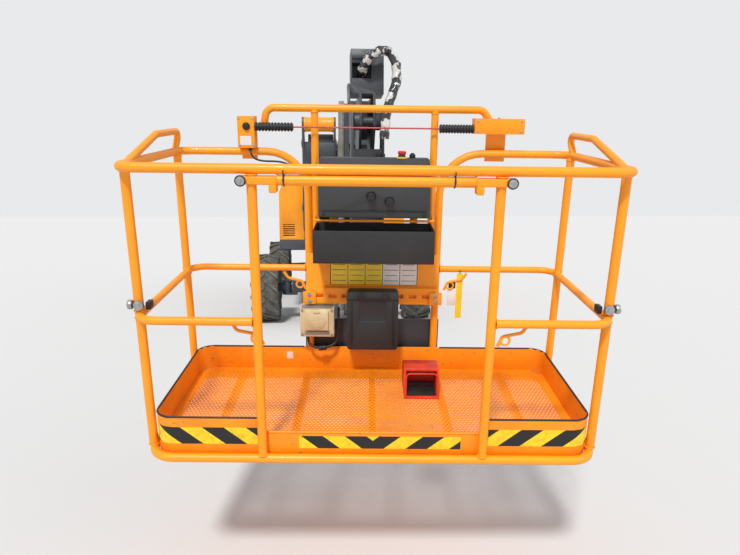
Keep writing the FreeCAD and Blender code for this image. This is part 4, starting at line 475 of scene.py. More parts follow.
def basketTubes():
    tubing = {"bar": 0.0179, "mid": 0.0161, "grip": 0.0152, "bend": 0.072, "postBend": 0.19,
              "level": 0.57, "railOut": 0.020, "postOut": 0.010, "gripFront": 0.27,
              "gripBack": 0.305, "gripLean": 0.35, "gripOver": 0.09, "gripRise": 0.088,
              "bead": 0.003}
    wide, deep, top, post = seat["halfWidth"], seat["halfDepth"], seat["top"], seat["backPost"]
    bar, bend, level = tubing["bar"], tubing["bend"], tubing["level"]

    def bead(spot, along, radius=bar):
        return addRing(spot, along, radius + 0.0008, tubing["bead"], 28, 8)

    ring = [addTube([(-wide, -deep, 0), (wide, -deep, 0), (wide, deep, 0), (-wide, deep, 0)], bar,
                    seat["corner"], closed=True)]
    ring += [bead((sign * u, v, bar + 0.001), (0, 0, 1)) for sign in (-1, 1)
             for u, v in ((seat["gatePost"], -deep), (wide, -deep + bend), (wide, deep - bend),
                          (post, deep))]
    whole = basketPiece(ring, "floor_ring_tube", "powderCoatAmber", 50)
    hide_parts("floor_ring")
    out, postTop = wide + tubing["railOut"], wide + tubing["postOut"]
    rail = [addTube([(-post, deep, bar), (-post, deep, top), (-out, deep, top), (-out, -deep, top),
                     (out, -deep, top), (out, deep, top), (post, deep, top), (post, deep, bar)],
                    bar, [tubing["postBend"], bend, bend, bend, bend, tubing["postBend"]])]
    rail += [bead((sign * u, v, top - bar - 0.001), (0, 0, 1)) for sign in (-1, 1)
             for u, v in ((seat["gatePost"], -deep), (postTop, -deep + bend), (postTop, deep - bend))]
    whole = basketPiece(rail, "top_rail_tube", "powderCoatAmber", 50)
    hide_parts("top_rail")
    for name, hand in (("left", -1), ("right", 1)):
        gate, side = hand * seat["gatePost"], hand * wide
        parts = [
            addTube([(hand * (post + bar), deep, level), (side, deep, level), (side, -deep, level),
                     (gate + hand * bar, -deep, level)], tubing["mid"], bend),
            addTube([(gate, -deep, bar), (gate, -deep, top - bar)], bar),
            addTube([(hand * postTop, -deep + bend, top - bar / 2), (side, -deep + bend, bar)], bar),
            addTube([(hand * postTop, deep - bend, top - bar / 2), (side, deep - bend, bar)], bar),
            addTube([(hand * out, -tubing["gripFront"], top),
                     (hand * out, tubing["gripLean"] - tubing["gripFront"], top + tubing["gripRise"]),
                     (hand * out, tubing["gripBack"] + tubing["gripOver"], top + tubing["gripRise"]),
                     (hand * out, tubing["gripBack"], top)], tubing["grip"], bend / 3),
            bead((gate + hand * (bar + 0.001), -deep, level), (1, 0, 0), tubing["mid"]),
            bead((hand * (post + bar + 0.001), deep, level), (1, 0, 0), tubing["mid"]),
        ]
        for v in (-deep + bend, deep - bend):
            for shift in (-1, 1):
                parts.append(bead((side + hand * tubing["postOut"] / 2, v,
                                   level + shift * (tubing["mid"] - 0.002)), (0, 0, 1), bar))
        whole = basketPiece(parts, "side_tubes_" + name, "powderCoatAmber", 50)
        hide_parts("side_frame_" + name)


def hoopTubes():
    hoop = {"radius": 0.0169, "half": 0.51, "rise": 1.32, "foot": 0.484, "guard": 1.237,
            "leftEnd": -0.541, "rightHigh": 0.067, "bend": 0.0432}
    deep, bar = seat["halfDepth"], seat["tube"]
    beside = seat["backPost"] - bar - 0.017 - 0.0003
    half, rise = hoop["half"], hoop["rise"]
    parts = [addTube([(hoop["leftEnd"] + bar * 2, deep, hoop["guard"] + bar * 0.4),
                      (bar - half, deep, rise), (half - bar, deep, rise),
                      (half + bar, deep, hoop["guard"] + hoop["rightHigh"] / 2)],
                     hoop["radius"], hoop["bend"])]
    for hand in (-1, 1):
        parts.append(addTube([(hand * beside, deep, hoop["foot"]), (hand * beside, deep, hoop["rise"])],
                             hoop["radius"]))
        parts.append(addRing((hand * beside, deep, hoop["rise"] - hoop["radius"]), (0, 0, 1),
                             hoop["radius"] + 0.0005, 0.003))
    whole = basketPiece(parts, "hoop_tubes", "powderCoatAmber", 50)
    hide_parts("console_hoop")


basketTubes()
hoopTubes()
print("basket tubes bent")


# Drop bar: its tube, the pressed sleeves on the posts, roller discs and rubber ties

def dropBar():
    gate = {"rise": 1.087, "radius": 0.0188, "post": 0.43, "inner": 0.088, "outer": 0.042,
            "bore": 0.0184, "half": 0.0248, "high": 0.0278, "tabWide": 0.0268, "tabDrop": 0.0418,
            "roller": 0.019, "tie": 0.0022, "ties": (-0.318, 0.268)}
    deep, level = seat["halfDepth"], gate["rise"]
    reach = gate["post"] - gate["inner"] + 0.001
    parts = [addTube([(-reach, -deep, level), (reach, -deep, level)], gate["radius"])]
    discs, rims = [], []
    for hand in (-1, 1):
        left, right = sorted((hand * (gate["post"] - gate["inner"]),
                              hand * (gate["post"] + gate["outer"])))
        sleeve = addBlock(((left + right) / 2, -deep, level),
                          (right - left - 0.0004, 2 * gate["half"], gate["high"]), 0.004, 3)
        tab = addBlock((hand * (gate["post"] - gate["inner"] + gate["tabWide"] / 2), -deep,
                        level - gate["tabDrop"] / 2),
                       (gate["tabWide"], 2 * gate["half"] - 0.002, gate["tabDrop"]), 0.005, 3)
        post = Vector((hand * gate["post"], -deep, level))
        bore = addRod(post - up * gate["high"], post + up * gate["high"], gate["bore"], 32)
        useModifier(sleeve, "BOOLEAN", object=bore, operation="DIFFERENCE", solver="EXACT")
        bpy.data.objects.remove(bore)
        parts += [tab, sleeve, addRing((hand * (gate["post"] - gate["inner"] - 0.0005), -deep, level),
                                       (1, 0, 0), gate["radius"] + 0.0008, 0.003)]
        hub = Vector((hand * (gate["post"] + gate["outer"] - gate["roller"] / 2),
                      -deep - gate["half"], level))
        nut = hub + outFront * 0.0135
        discs += [addRod(hub, hub + outFront * 0.010, gate["roller"] * 0.80, 32, 0.002),
                  addRod(hub + outFront * 0.008, nut, gate["roller"] * 0.42, 24, 0.001),
                  addBolt(nut, outFront, 0.0036, False)]
        rims.append(addRing(hub + outFront * 0.006, (0, 1, 0), gate["roller"] * 0.86, 0.0034, 32, 10))
    whole = finishPiece(parts, "drop_bar", "powderCoatAmber", "gate", inBasket, 45)
    finishPiece(discs, "drop_bar_rollers", "zincPlate", "gate", inBasket)
    finishPiece(rims, "drop_bar_roller_rims", "mouldedNylon", "gate", inBasket, 60)
    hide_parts("gate_bar")
    ties = []
    front = -deep - gate["radius"]
    for u in gate["ties"]:
        ties += [addRing((u, -deep, level), (1, 0, 0), gate["radius"] + 0.0015, gate["tie"], 28, 8),
                 addBlock((u, front - 0.003, level + 0.004), (0.006, 0.006, 0.011), 0.001),
                 addBlock((u, front - 0.0035, level + 0.022), (0.0038, 0.0018, 0.030), 0.0006)]
    finishPiece(ties, "drop_bar_ties", "mouldedNylon", "gate", inBasket)


dropBar()
print("drop bar fitted")


# Toe boards: rubber edge strips, hazard film on the outside and a rolled lip at the gate

def toeTrim():
    toe = {"rise": 0.166, "front": 0.105, "wall": 0.005, "edge": 0.0042, "backEnd": 0.34,
           "outerFilm": (0.050, 0.122), "midFilm": (0.034, 0.088), "midAt": 0.028, "midWide": 0.636,
           "proud": 0.0005, "arc": 8}
    inset = seat["toeInset"]
    u, v, bend = seat["halfWidth"] - inset, seat["halfDepth"] - inset, seat["corner"] - inset
    centre = toe["wall"] / 2
    corner = bend - centre
    top = toe["rise"] - 0.002
    gate = seat["gatePost"]
    strips = []
    near, far, side = centre - v, v - centre, u - centre
    for hand in (-1, 1):
        strips.append(addTube([(hand * (gate + 0.004), near, top), (hand * side, near, top),
                               (hand * side, far, top), (hand * toe["backEnd"], far, top)],
                              toe["edge"], corner, sides=2))
    low = toe["front"] - 0.002
    lip = addTube([(0.002 - gate, near, low), (gate - 0.002, near, low)], toe["edge"] + 0.0008, sides=3)
    basketPiece(strips, "toe_edge_strips", "hoseRubber", 50)
    basketPiece(lip, "toe_gate_lip", "powderCoatScuffed", 50)
    films = []
    low, high = toe["outerFilm"]
    for hand in (-1, 1):
        spots = [(hand * (gate + 0.014), -v)]
        for step in range(toe["arc"] + 1):
            a = math.radians(90 * step / toe["arc"])
            spots.append((hand * (u - bend + bend * math.sin(a)), -v + bend - bend * math.cos(a)))
        spots.append((hand * u, -v + bend + 0.05))
        mesh = bpy.data.meshes.new("film")
        points = [(x, y, z) for z in (low, high) for x, y in spots]
        count = len(spots)
        mesh.from_pydata(points, [], [(k, k + 1, k + 1 + count, k + count) for k in range(count - 1)])
        film = linked("film", mesh)
        edit(film, lambda: bpy.ops.mesh.normals_make_consistent(inside=False))
        useModifier(film, "SOLIDIFY", thickness=2 * toe["proud"], offset=0)
        films.append(film)
    low, high = toe["midFilm"]
    films.append(addBlock((toe["midAt"], -v, (low + high) / 2),
                          (toe["midWide"], 2 * toe["proud"], high - low)))
    basketPiece(films, "hazard_film", "vinylHazardStripes")
    label = addBlock((-0.413, v - toe["wall"] - 0.0004, 0.118), (0.030, 0.0008, 0.036))
    basketPiece(label, "toe_blank_label", "vinylWhite")


toeTrim()
print("toe boards trimmed")


# Guard line: ribbed bellows on a red pull cable between the two switch boxes

def guardLine():
    guard = {"v": 0.3417, "w": 1.237, "left": (-0.541, -0.369), "right": (0.292, 0.448),
             "ribs": 12, "crest": 0.0205, "root": 0.0155, "cable": 0.0036}
    parts, v, w = [], guard["v"], guard["w"]
    for start, end in (guard["left"], guard["right"]):
        pitch = (end - start) / guard["ribs"]
        parts.append(addRod((start, v, w), (end, v, w), guard["root"], 28))
        parts += [addRing((start + (k + 0.5) * pitch, v, w), (1, 0, 0), guard["root"],
                          guard["crest"] - guard["root"], 28, 10) for k in range(guard["ribs"])]
    whole = basketPiece(parts, "bellows_ribs", "hoseRubber", 60)
    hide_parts("shield_bellows")
    cable = addRod((guard["left"][1] - 0.002, v, w), (guard["right"][0] + 0.002, v, w),
                   guard["cable"], 12)
    basketPiece(cable, "guard_cable", "sheathedCableRed", 60)


def switchBoxes():
    box = {"left": -0.580, "face": 0.3278, "button": 1.239, "label": 1.176, "roof": 1.2835}
    face = box["face"]
    button = Vector((box["left"] + 0.003, face, box["button"]))
    parts = [addRod(button, button + outFront * 0.006, 0.017, 28, 0.001),
             addRod(button + outFront * 0.004, button + outFront * 0.013, 0.0125, 28, 0.003)]
    cable = addSweep([(-0.566, face + 0.02, 1.150), (-0.566, face + 0.006, 1.124),
                      (-0.548, face + 0.002, 1.094), (-0.505, face + 0.006, 1.084),
                      (-0.455, face + 0.018, 1.084), (-0.415, face + 0.024, 1.078),
                      (-0.375, face + 0.028, 1.062)], 0.0042)
    gland = addRod((-0.566, face + 0.02, 1.146), (-0.566, face + 0.012, 1.130), 0.008, 12, 0.001)
    basketPiece(parts + [cable, gland], "switch_box_button", "mouldedNylon")
    label = addBlock((box["left"] - 0.002, face - 0.0003, box["label"]), (0.050, 0.0008, 0.040))
    basketPiece(label, "switch_box_label", "vinylWhite")
    screws = addBolts(face, (-0.611, -0.549), (1.154, 1.272), 0.0036)
    screws += [addBolt((u, 0.352, box["roof"]), up, 0.0060) for u in (0.492, 0.520, 0.562)]
    screws += addBolts(face, (0.464, 0.660), (1.228, 1.272), 0.0034)
    basketPiece(screws, "switch_box_screws", "zincPlate")


guardLine()
switchBoxes()
print("guard line strung")


# Operator's console: knobs, stop button, key switch and the hand rod below

def consoleDetails():
    desk = {"face": 0.184, "roof": 1.107, "seam": 0.885, "seamWide": 0.466,
            "knobs": ((-0.014, 0.952), (0.067, 0.9299)), "stop": (0.124, 0.312), "key": (0.173, 0.330),
            "rodHalf": 0.27, "rodBack": 0.345, "rodFront": 0.215, "rod": 0.836}
    knobs, collars = [], []
    for u, w in desk["knobs"]:
        spot = Vector((u, desk["face"], w))
        knobs += [addRod(spot, spot + outFront * 0.020, 0.0176, 24, 0.003),
                  addRod(spot + outFront * 0.018, spot + outFront * 0.0345, 0.0186, 10, 0.004)]
        collars.append(addRing(spot, (0, 1, 0), 0.0205, 0.0022, 28, 8))
    basketPiece(knobs + collars, "console_knobs", "mouldedNylon")
    stop = Vector((*desk["stop"], desk["roof"] + 0.002))
    cap = [addRod(stop, stop + up * 0.016, 0.012, 24, 0.001),
           addRod(stop + up * 0.014, stop + up * 0.030, 0.0195, 32, 0.006)]
    basketPiece(cap, "stop_button", "mouldedRedKnob")
    collar = addRod(stop - up * 0.004, stop + up * 0.003, 0.026, 32, 0.001)
    basketPiece(collar, "stop_button_collar", "vinylYellow")
    lock = Vector((*desk["key"], desk["roof"] - 0.002))
    key = [addRod(lock, lock + up * 0.018, 0.014, 24, 0.002),
           addRod(lock + up * 0.016, lock + up * 0.024, 0.0085, 20, 0.002)]
    basketPiece(key, "key_switch", "mouldedNylon")
    seam = [addBlock((0, desk["face"] + 0.0015, desk["seam"]), (desk["seamWide"], 0.006, 0.004), 0.001)]
    seam += addBolts(desk["face"], (-0.225, 0.225), (0.868, 1.020), 0.0045)
    basketPiece(seam, "console_seam", "mouldedNylon")
    rod = addTube([(hand * desk["rodHalf"], v, desk["rod"]) for hand, v in (
        (-1, desk["rodBack"]), (-1, desk["rodFront"]), (1, desk["rodFront"]), (1, desk["rodBack"]))],
                  0.0058, 0.022, sides=3)
    basketPiece(rod, "console_guard_rod", "powderCoatAmber", 50)


consoleDetails()
print("console fitted")


# Back panel: blank label sheet, slotted beam's bolts and clamps

def backPanelDetails():
    sheet = {"face": 0.3546, "left": -0.205, "right": 0.215, "low": 0.492, "high": 0.634,
             "columns": 5, "yellow": 3, "rows": 4, "pitch": 0.027, "firstRow": 0.022}
    yellow, white, lines = [], [], []
    face, proud = sheet["face"], sheet["face"] - 0.0006
    tall, level = sheet["high"] - sheet["low"], (sheet["low"] + sheet["high"]) / 2
    wide = (sheet["right"] - sheet["left"]) / sheet["columns"]
    for k in range(sheet["columns"]):
        middle = sheet["left"] + (k + 0.5) * wide
        tile = addBlock((middle, face, level), (wide - 0.003, 0.001, tall - 0.004))
        (yellow if k < sheet["yellow"] else white).append(tile)
        for row in range(sheet["rows"]):
            height = sheet["low"] + sheet["firstRow"] + row * sheet["pitch"]
            lines.append(addBlock((middle, proud, height),
                                  (wide - 0.016 - 0.010 * (row % 2), 0.0005, 0.0026)))
        if k < sheet["yellow"]:
            lines.append(addBlock((middle, proud, sheet["high"] - 0.020),
                                  (wide - 0.018, 0.0005, 0.020)))
    border = addBlock(((sheet["left"] + sheet["right"]) / 2, face + 0.0004, level),
                      (sheet["right"] - sheet["left"] + 0.004, 0.001, tall))
    basketPiece(yellow, "label_sheet_yellow", "vinylYellow")
    basketPiece(white, "label_sheet_white", "vinylWhite")
    basketPiece(lines + [border], "label_sheet_lines", "vinylBlack")
    clamp = {"u": 0.305, "w": 0.436, "bolts": 0.016}
    clamps, w = [], clamp["w"]
    for middle in (-clamp["u"], clamp["u"]):
        clamps += [addBlock((middle, 0.317, w), (0.062, 0.008, 0.064), 0.002),
                   addTube([(middle - 0.020, 0.345, w), (middle - 0.020, 0.318, w)], 0.005)]
    bolts = addBolts(0.313, (-clamp["u"], clamp["u"]), (w - clamp["bolts"], w + clamp["bolts"]), 0.0075)
    bolts += addBolts(0.3544, (-0.16, 0.16), (0.640,), 0.006)
    basketPiece(clamps, "beam_clamps", "powderCoatAmber")
    basketPiece(bolts, "beam_bolts", "zincPlate")


def bookDetails():
    book = {"face": 0.2451, "lid": 0.452, "latches": (-0.056, 0.060), "ribs": (-0.100, 0.100)}
    face = book["face"]
    parts = [addBlock((0, face + 0.0005, book["lid"]), (0.236, 0.006, 0.0035), 0.001)]
    for u in book["latches"]:
        parts += [addBlock((u, face - 0.003, book["lid"] + 0.018), (0.030, 0.008, 0.034), 0.003),
                  addBlock((u, face - 0.007, book["lid"] + 0.026), (0.018, 0.006, 0.010), 0.002)]
    parts += [addBlock((u, face, 0.330), (0.008, 0.006, 0.220), 0.003) for u in book["ribs"]]
    basketPiece(parts, "document_box_latches", "mouldedNylon")


backPanelDetails()
bookDetails()
print("panel labelled")


# Socket box with its cover, grey stripe and the black lead below it

def socketDetails():
    box = {"u": -0.268, "low": 0.243, "high": 0.393, "face": 0.2895}
    face, u, low = box["face"], box["u"], box["low"]
    stripe = [addBlock((u, face - 0.0008, low + 0.022), (0.120, 0.003, 0.016), 0.001),
              addBlock((u, face + 0.02, box["high"] + 0.001), (0.150, 0.040, 0.004), 0.001)]
    basketPiece(stripe, "socket_box_stripe", "mouldedAbsGrey")
    cover = Vector((u, face - 0.0145, low + 0.088))
    parts = [addRod(cover - outFront * 0.004, cover + outFront * 0.003, 0.042, 32, 0.003),
             addRod(cover, cover + outFront * 0.0065, 0.032, 32, 0.003),
             addBlock(cover + Vector((0, -0.002, 0.046)), (0.030, 0.010, 0.010), 0.003)]
    basketPiece(parts, "socket_cover", "mouldedAbsBeige")
    screws = addBolts(face, (u - 0.072, u + 0.072), (low + 0.012, low + 0.138), 0.0042)
    basketPiece(screws, "socket_screws", "zincPlate")
    lead = addSweep([(-0.315, 0.325, 0.243), (-0.318, 0.322, 0.212), (-0.300, 0.305, 0.188),
                     (-0.255, 0.300, 0.180), (-0.215, 0.305, 0.186), (-0.185, 0.318, 0.196),
                     (-0.165, 0.330, 0.230), (-0.168, 0.338, 0.300), (-0.165, 0.342, 0.380)], 0.0065)
    plug = [addRod((-0.262, 0.301, 0.180), (-0.225, 0.303, 0.184), 0.0125, 16, 0.002),
            addRing((-0.246, 0.302, 0.182), (1, 0, 0.05), 0.0125, 0.0022)]
    basketPiece([lead] + plug, "socket_lead", "hoseRubber", 50)


def pedalDetails():
    pedal = {"spot": (0.226, 0.120, 0.050), "treadHalf": 0.066, "rimHalf": 0.070, "rimTop": 0.116,
             "ridges": 5, "ridgePitch": 0.026}
    spot, half = Vector(pedal["spot"]), pedal["treadHalf"]
    ridges = [addBlock(spot + Vector((-0.052 + pedal["ridgePitch"] * k, -0.045, 0.016)),
                       (0.010, 0.060, 0.005), 0.0015) for k in range(pedal["ridges"])]
    tread = addPlate([spot + Vector(p) for p in ((-half, -0.082, 0.012), (half, -0.082, 0.012),
                                                 (half, 0.010, 0.034), (-half, 0.010, 0.034))],
                     0.006, up, 0.0015)
    basketPiece(ridges + [tread], "pedal_tread", "mouldedNylon")
    half, top = pedal["rimHalf"], pedal["rimTop"]
    rim = addTube([spot + Vector((u, -0.075, w)) for u, w in (
        (-half, 0.010), (-half, top), (half, top), (half, 0.010))], 0.0035, 0.018, sides=2)
    basketPiece(rim, "pedal_hood_rim", "castRedPaint", 50)


socketDetails()
pedalDetails()
print("floor fittings done")


# Harness anchors: bent flat bars, and the tags that hang at the right rear post

def harnessAnchors():
    anchor = {"bar": 0.0065, "level": 0.555, "inset": 0.026, "bend": 0.020, "eye": 0.017,
              "front": ((-0.532, -0.419), (0.572, 0.467)), "back": ((-0.430, -0.330), (0.455, 0.352))}
    deep, level, parts = seat["halfDepth"], anchor["level"], []
    for row, v in (("front", anchor["inset"] - deep), ("back", deep - anchor["inset"])):
        for start, end in anchor[row]:
            hand = 1 if end > start else -1
            parts += [addTube([(start, v, level), (start + hand * 0.020, v, level - 0.030),
                               (end - hand * 0.014, v, level - 0.045),
                               (end + hand * 0.004, v, level - 0.085)],
                              anchor["bar"], anchor["bend"], sides=3),
                      addRing((end - hand * 0.024, v, level - 0.062), (0, 1, 0), anchor["eye"],
                              anchor["bar"] * 0.7)]
    basketPiece(parts, "harness_anchors", "powderCoatAmber", 50)


def hangingTags():
    # A plastic tag and a yellow strip on the hook at the right back post
    tags = {"strip": 0.424, "tag": 0.388}
    deep = seat["halfDepth"]
    strip = addBlock((tags["strip"], deep - 0.024, 0.440), (0.030, 0.0012, 0.230))
    basketPiece(strip, "hanging_strip", "vinylYellow")
    tag = addBlock((tags["tag"], deep - 0.023, 0.435), (0.040, 0.0015, 0.090), 0.0006)
    basketPiece(tag, "hanging_tag", "vinylWhite")
    hook = [addBlock((tags["tag"], deep - 0.022, 0.496), (0.034, 0.010, 0.036), 0.004),
            addTube([(tags["strip"], deep - 0.024, w) for w in (0.570, 0.552)], 0.002)]
    basketPiece(hook, "hanging_hook", "mouldedNylon")


def cornerFittings():
    # Zinc caps and their rubber blocks on the front corner posts
    corner = {"level": 0.612, "cap": 0.0185}
    front, caps, pads = -seat["halfDepth"] + 0.072 - seat["tube"], [], []
    for hand in (-1, 1):
        spot = Vector((hand * seat["halfWidth"], front, corner["level"]))
        out, face = Vector((hand, 0, 0)), spot - Vector((hand * 0.002, 0, 0))
        side, nut = spot - outFront * 0.004, face + outFront * 0.016
        caps += [addRod(face, nut, corner["cap"], 24, 0.003), addBolt(nut, outFront, 0.0075),
                 addRod(side + out * 0.022, side + out * 0.042, corner["cap"], 24, 0.006)]
        pads += [addRod(side + out * 0.012, side + out * 0.026, 0.012, 18, 0.001),
                 addBlock(spot + Vector((-hand * 0.030, 0.030, -0.008)), (0.018, 0.040, 0.030), 0.003)]
    basketPiece(caps, "corner_fittings", "zincPlate")
    basketPiece(pads, "corner_fitting_blocks", "mouldedNylon")


harnessAnchors()
hangingTags()
cornerFittings()
print("basket complete")


# The hose bundle over the head: a crumpled glossy sleeve on the route of the frame's hose

def hoseSleeve():
    sleeve = {"radius": 0.026, "crease": 0.011, "foldSize": 0.042}
    route = [(-32, 68, 275), (-30, -18, 282), (-14, -80, 315), (30, -98, 362), (88, -98, 378),
             (136, -94, 352), (158, -92, 296), (160, -98, 228), (144, -110, 160), (114, -118, 92),
             (94, -122, 20), (88, -118, -110)]
    pivot = Vector(joints["jib_lift"]["pos_m"])
    points = [pivot + Vector(p) / 1000 for p in route]
    tube = addSweep(points, sleeve["radius"], resolution=24, sides=12)
    edit(tube, lambda: bpy.ops.mesh.remove_doubles(threshold=0.00002),
         lambda: bpy.ops.mesh.normals_make_consistent(inside=False))
    folds = bpy.data.textures.new("folds", "VORONOI")
    folds.noise_scale, folds.distance_metric = sleeve["foldSize"], "DISTANCE"
    useModifier(tube, "DISPLACE", texture=folds, texture_coords="LOCAL", strength=sleeve["crease"],
                mid_level=0.45)
    finishPiece(tube, "hose_sleeve", "crinkledSleeve", "inner_boom", smooth=25)
    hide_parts("hose_loop")


# Woven sleeve with a glossy film: black, with pale specks painted into its colour as painted highlights that stand
# in for glints on its creases
finishes["crinkledSleeve"] = coatedSurface("crinkledSleeve", ("#131417", "#3A3C41"), 30, 12, 3.0,
                                           (0.14, 0.30), coat=0.5, specks=("#CFCEC8", 52, 0.50))
hoseSleeve()
print("hose sleeved")


# Machine behind the basket: wheel nuts, pin covers, hood and counterweight fittings

slewY = joints["slew"]["pos_m"][1]


def arms(count):
    # Directions of evenly spaced bolts on a face that looks sideways
    turns = [2 * math.pi * (k + 0.5) / count for k in range(count)]
    return [Vector((0, math.cos(a), math.sin(a))) for a in turns]


def wheelDetails():
    wheel = {"face": 0.020, "cap": 0.048, "circle": 0.084, "nuts": 10, "capCircle": 0.044}
    for end in ("front", "rear"):
        for side, hand in (("left", -1), ("right", 1)):
            name = end + "_" + side
            centre = Vector(joints["spin_" + name]["pos_m"])
            out = Vector((hand, 0, 0))
            face, cap, nuts = centre + out * wheel["face"], centre + out * wheel["cap"], []
            for k, arm in enumerate(arms(wheel["nuts"])):
                nuts.append(addBolt(face + arm * wheel["circle"], out, 0.0105))
                if k % 2:
                    nuts.append(addBolt(cap + arm * wheel["capCircle"], out, 0.0055, False))
            nuts.append(addRod(cap, cap + out * 0.004, 0.026, 24, 0.0015))
            finishPiece(nuts, "wheel_nuts_" + name, "zincPlate", "wheel_" + name)
            stem = centre + Vector((hand * 0.034, 0.165, 0.0))
            valve = addRod(stem, stem + Vector((hand * 0.026, 0.012, 0)), 0.0045, 12, 0.001)
            finishPiece(valve, "tyre_valve_" + name, "hoseRubber", "wheel_" + name)


def pinCovers():
    # A round keeper with four bolts on each main pin's outer ends
    knee, tower, middle, kneeY = 0.208, 0.213, -0.282, -1.74829
    covers = {
        "turret": [(middle + hand * tower, 1.050, 1.450, hand) for hand in (-1, 1)],
        "middle_knuckle": [(middle + hand * knee, kneeY, z, hand) for z in (1.54772, 2.34772)
                           for hand in (-1, 1)],
        "upper_knuckle": [(middle - knee, 1.050, 2.250, -1), (0.159, 1.150, 2.150, 1)],
    }
    for body, spots in covers.items():
        plates, bolts = [], []
        for x, y, z, hand in spots:
            spot, out = Vector((x, slewY + y, z)), Vector((hand, 0, 0))
            plates += [addRod(spot - out * 0.001, spot + out * 0.010, 0.056, 36, 0.002),
                       addRod(spot + out * 0.008, spot + out * 0.016, 0.030, 28, 0.002)]
            bolts += [addBolt(spot + out * 0.010 + arm * 0.042, out, 0.0075) for arm in arms(4)]
        finishPiece(plates, body + "_pin_covers", "enamelCharcoal", body)
        finishPiece(bolts, body + "_pin_bolts", "zincPlate", body)


def hoodDetails():
    # Paddle latches and a louvre of dark slats on each side
    hood = {"latches": (-0.52, 0.66), "latchLevel": 1.150, "louvres": 9, "louvreAt": 0.07,
            "louvreLow": 1.300, "pitch": 0.028}
    for side, hand, outer in (("left", -1, 0.870), ("right", 1, 0.930)):
        body, out = side + "_hood", Vector((hand, 0, 0))
        face = hand * outer
        dark, zinc = [], []
        for y in hood["latches"]:
            spot = Vector((face, slewY + y, hood["latchLevel"]))
            dark += [addBlock(spot, (0.010, 0.120, 0.070), 0.003),
                     addBlock(spot + out * 0.008 + up * 0.006, (0.012, 0.090, 0.036), 0.004)]
            zinc.append(addBolt(spot + out * 0.005 - up * 0.024, out, 0.0055))
        dark += [addBlock((face, slewY + hood["louvreAt"], hood["louvreLow"] + hood["pitch"] * k),
                          (0.010, 0.420, 0.017), 0.003) for k in range(hood["louvres"])]
        zinc += [addBolt((face, slewY + y, z), out, 0.0060) for z in (1.285, 1.540)
                 for y in (-0.17, 0.31)]
        finishPiece(dark, side + "_hood_latches", "mouldedPolypropylene", body)
        finishPiece(zinc, side + "_hood_screws", "zincPlate", body)


def tailDetails():
    # Lifting sockets of the cast counterweight, with a blank reflector strip on each side
    tail = {"socket": (0.42, 1.36, 1.620), "strip": (0.74, 0.9852, 1.30)}
    parts, strips = [], []
    for hand in (-1, 1):
        x, y, z = tail["socket"]
        spot = Vector((hand * x, slewY + y, z))
        parts += [addRing(spot, up, 0.036, 0.010, 32, 10),
                  addRod(spot - up * 0.004, spot + up * 0.003, 0.030, 28, 0.001)]
        x, y, z = tail["strip"]
        strips.append(addBlock((hand * x, slewY + y, z), (0.150, 0.0016, 0.040)))
    finishPiece(parts, "counterweight_sockets", "greasedSteel", "turret")
    finishPiece(strips, "counterweight_reflectors", "vinylYellow", "turret")


def noseDetails():
    # Bolt heads along the nose plate and two blank yellow stickers on it
    nose = slewY - 1.640
    bolts = addBolts(nose, (-0.40, -0.30, 0.30, 0.40), (0.36, 0.60), 0.012)
    finishPiece(bolts, "nose_bolts", "zincPlate", "chassis")
    stickers = [addBlock((u, nose - 0.0006, 0.505), (0.055, 0.0012, 0.115)) for u in (-0.36, 0.36)]
    finishPiece(stickers, "nose_stickers", "vinylYellow", "chassis")


def boomDetails():
    # Wear pad screws round the outer boom's collar
    collar = {"y": slewY + 1.150 - 6.250 + 0.060, "x": 0.030, "side": 0.102, "z": 2.150}
    screws = [addBolt((collar["x"] + hand * collar["side"], collar["y"] + step, collar["z"] + rise),
                      (hand, 0, 0), 0.0085)
              for hand in (-1, 1) for step in (0, 0.055) for rise in (-0.100, 0.100)]
    finishPiece(screws, "boom_collar_screws", "zincPlate", "outer_boom")


wheelDetails()
pinCovers()
hoodDetails()
tailDetails()
noseDetails()
boomDetails()
print("machine fitted")


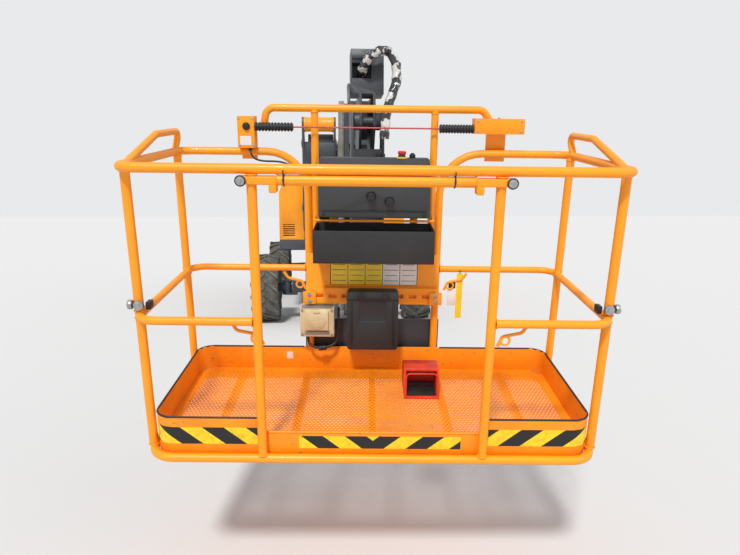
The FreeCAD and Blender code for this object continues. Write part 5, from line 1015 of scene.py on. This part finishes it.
# Camera, light and ground

view = {"place": (-0.22, -6.6286, 1.62), "down": 7.2, "turn": 4.29, "lens": 29.2}
bpy.ops.object.camera_add(location=view["place"],
                          rotation=(math.radians(90 - view["down"]), 0, -math.radians(view["turn"])))
camera = bpy.context.active_object
camera.data.lens, camera.data.sensor_width = view["lens"], 36
bpy.context.scene.camera = camera

bpy.ops.mesh.primitive_plane_add(size=120, location=(0, 0, 0))
ground = bpy.context.active_object
ground.name = "ground"
paleFloor = bpy.data.materials.new("paleFloor")
paleFloor.use_nodes = True
surface = paleFloor.node_tree.nodes["Principled BSDF"]
surface.inputs["Base Color"].default_value = hexColour("#DEDDDA")
surface.inputs["Roughness"].default_value = 0.8
ground.data.materials.append(paleFloor)

bpy.context.scene.view_settings.view_transform = "Standard"
world = bpy.context.scene.world or bpy.data.worlds.new("studio")
bpy.context.scene.world = world
world.use_nodes = True
world.node_tree.nodes.clear()
rays = addNode(world, "ShaderNodeLightPath")
soft = addNode(world, "ShaderNodeBackground", {"Color": hexColour("#F4F7FF"), "Strength": 0.52})
pale = addNode(world, "ShaderNodeBackground", {"Color": hexColour("#E9EAEB"), "Strength": 1.0})
bounced = addNode(world, "ShaderNodeMath", links={0: rays.outputs["Is Glossy Ray"],
                                                  1: rays.outputs["Is Transmission Ray"]},
                  operation="MAXIMUM")
seen = addNode(world, "ShaderNodeMath", links={0: rays.outputs["Is Camera Ray"],
                                               1: bounced.outputs[0]}, operation="MAXIMUM")
mixed = addNode(world, "ShaderNodeMixShader", links={0: seen.outputs[0],
                                                     1: soft.outputs[0], 2: pale.outputs[0]})
addNode(world, "ShaderNodeOutputWorld", links={"Surface": mixed.outputs[0]})

for name, turn, strength, angle in (("key", (40, 14, -32), 2.6, 8), ("fill", (62, 0, 58), 0.45, 40)):
    bpy.ops.object.light_add(type="SUN", rotation=[math.radians(v) for v in turn])
    lamp = bpy.context.active_object
    lamp.name = name
    lamp.data.energy, lamp.data.angle = strength, math.radians(angle)
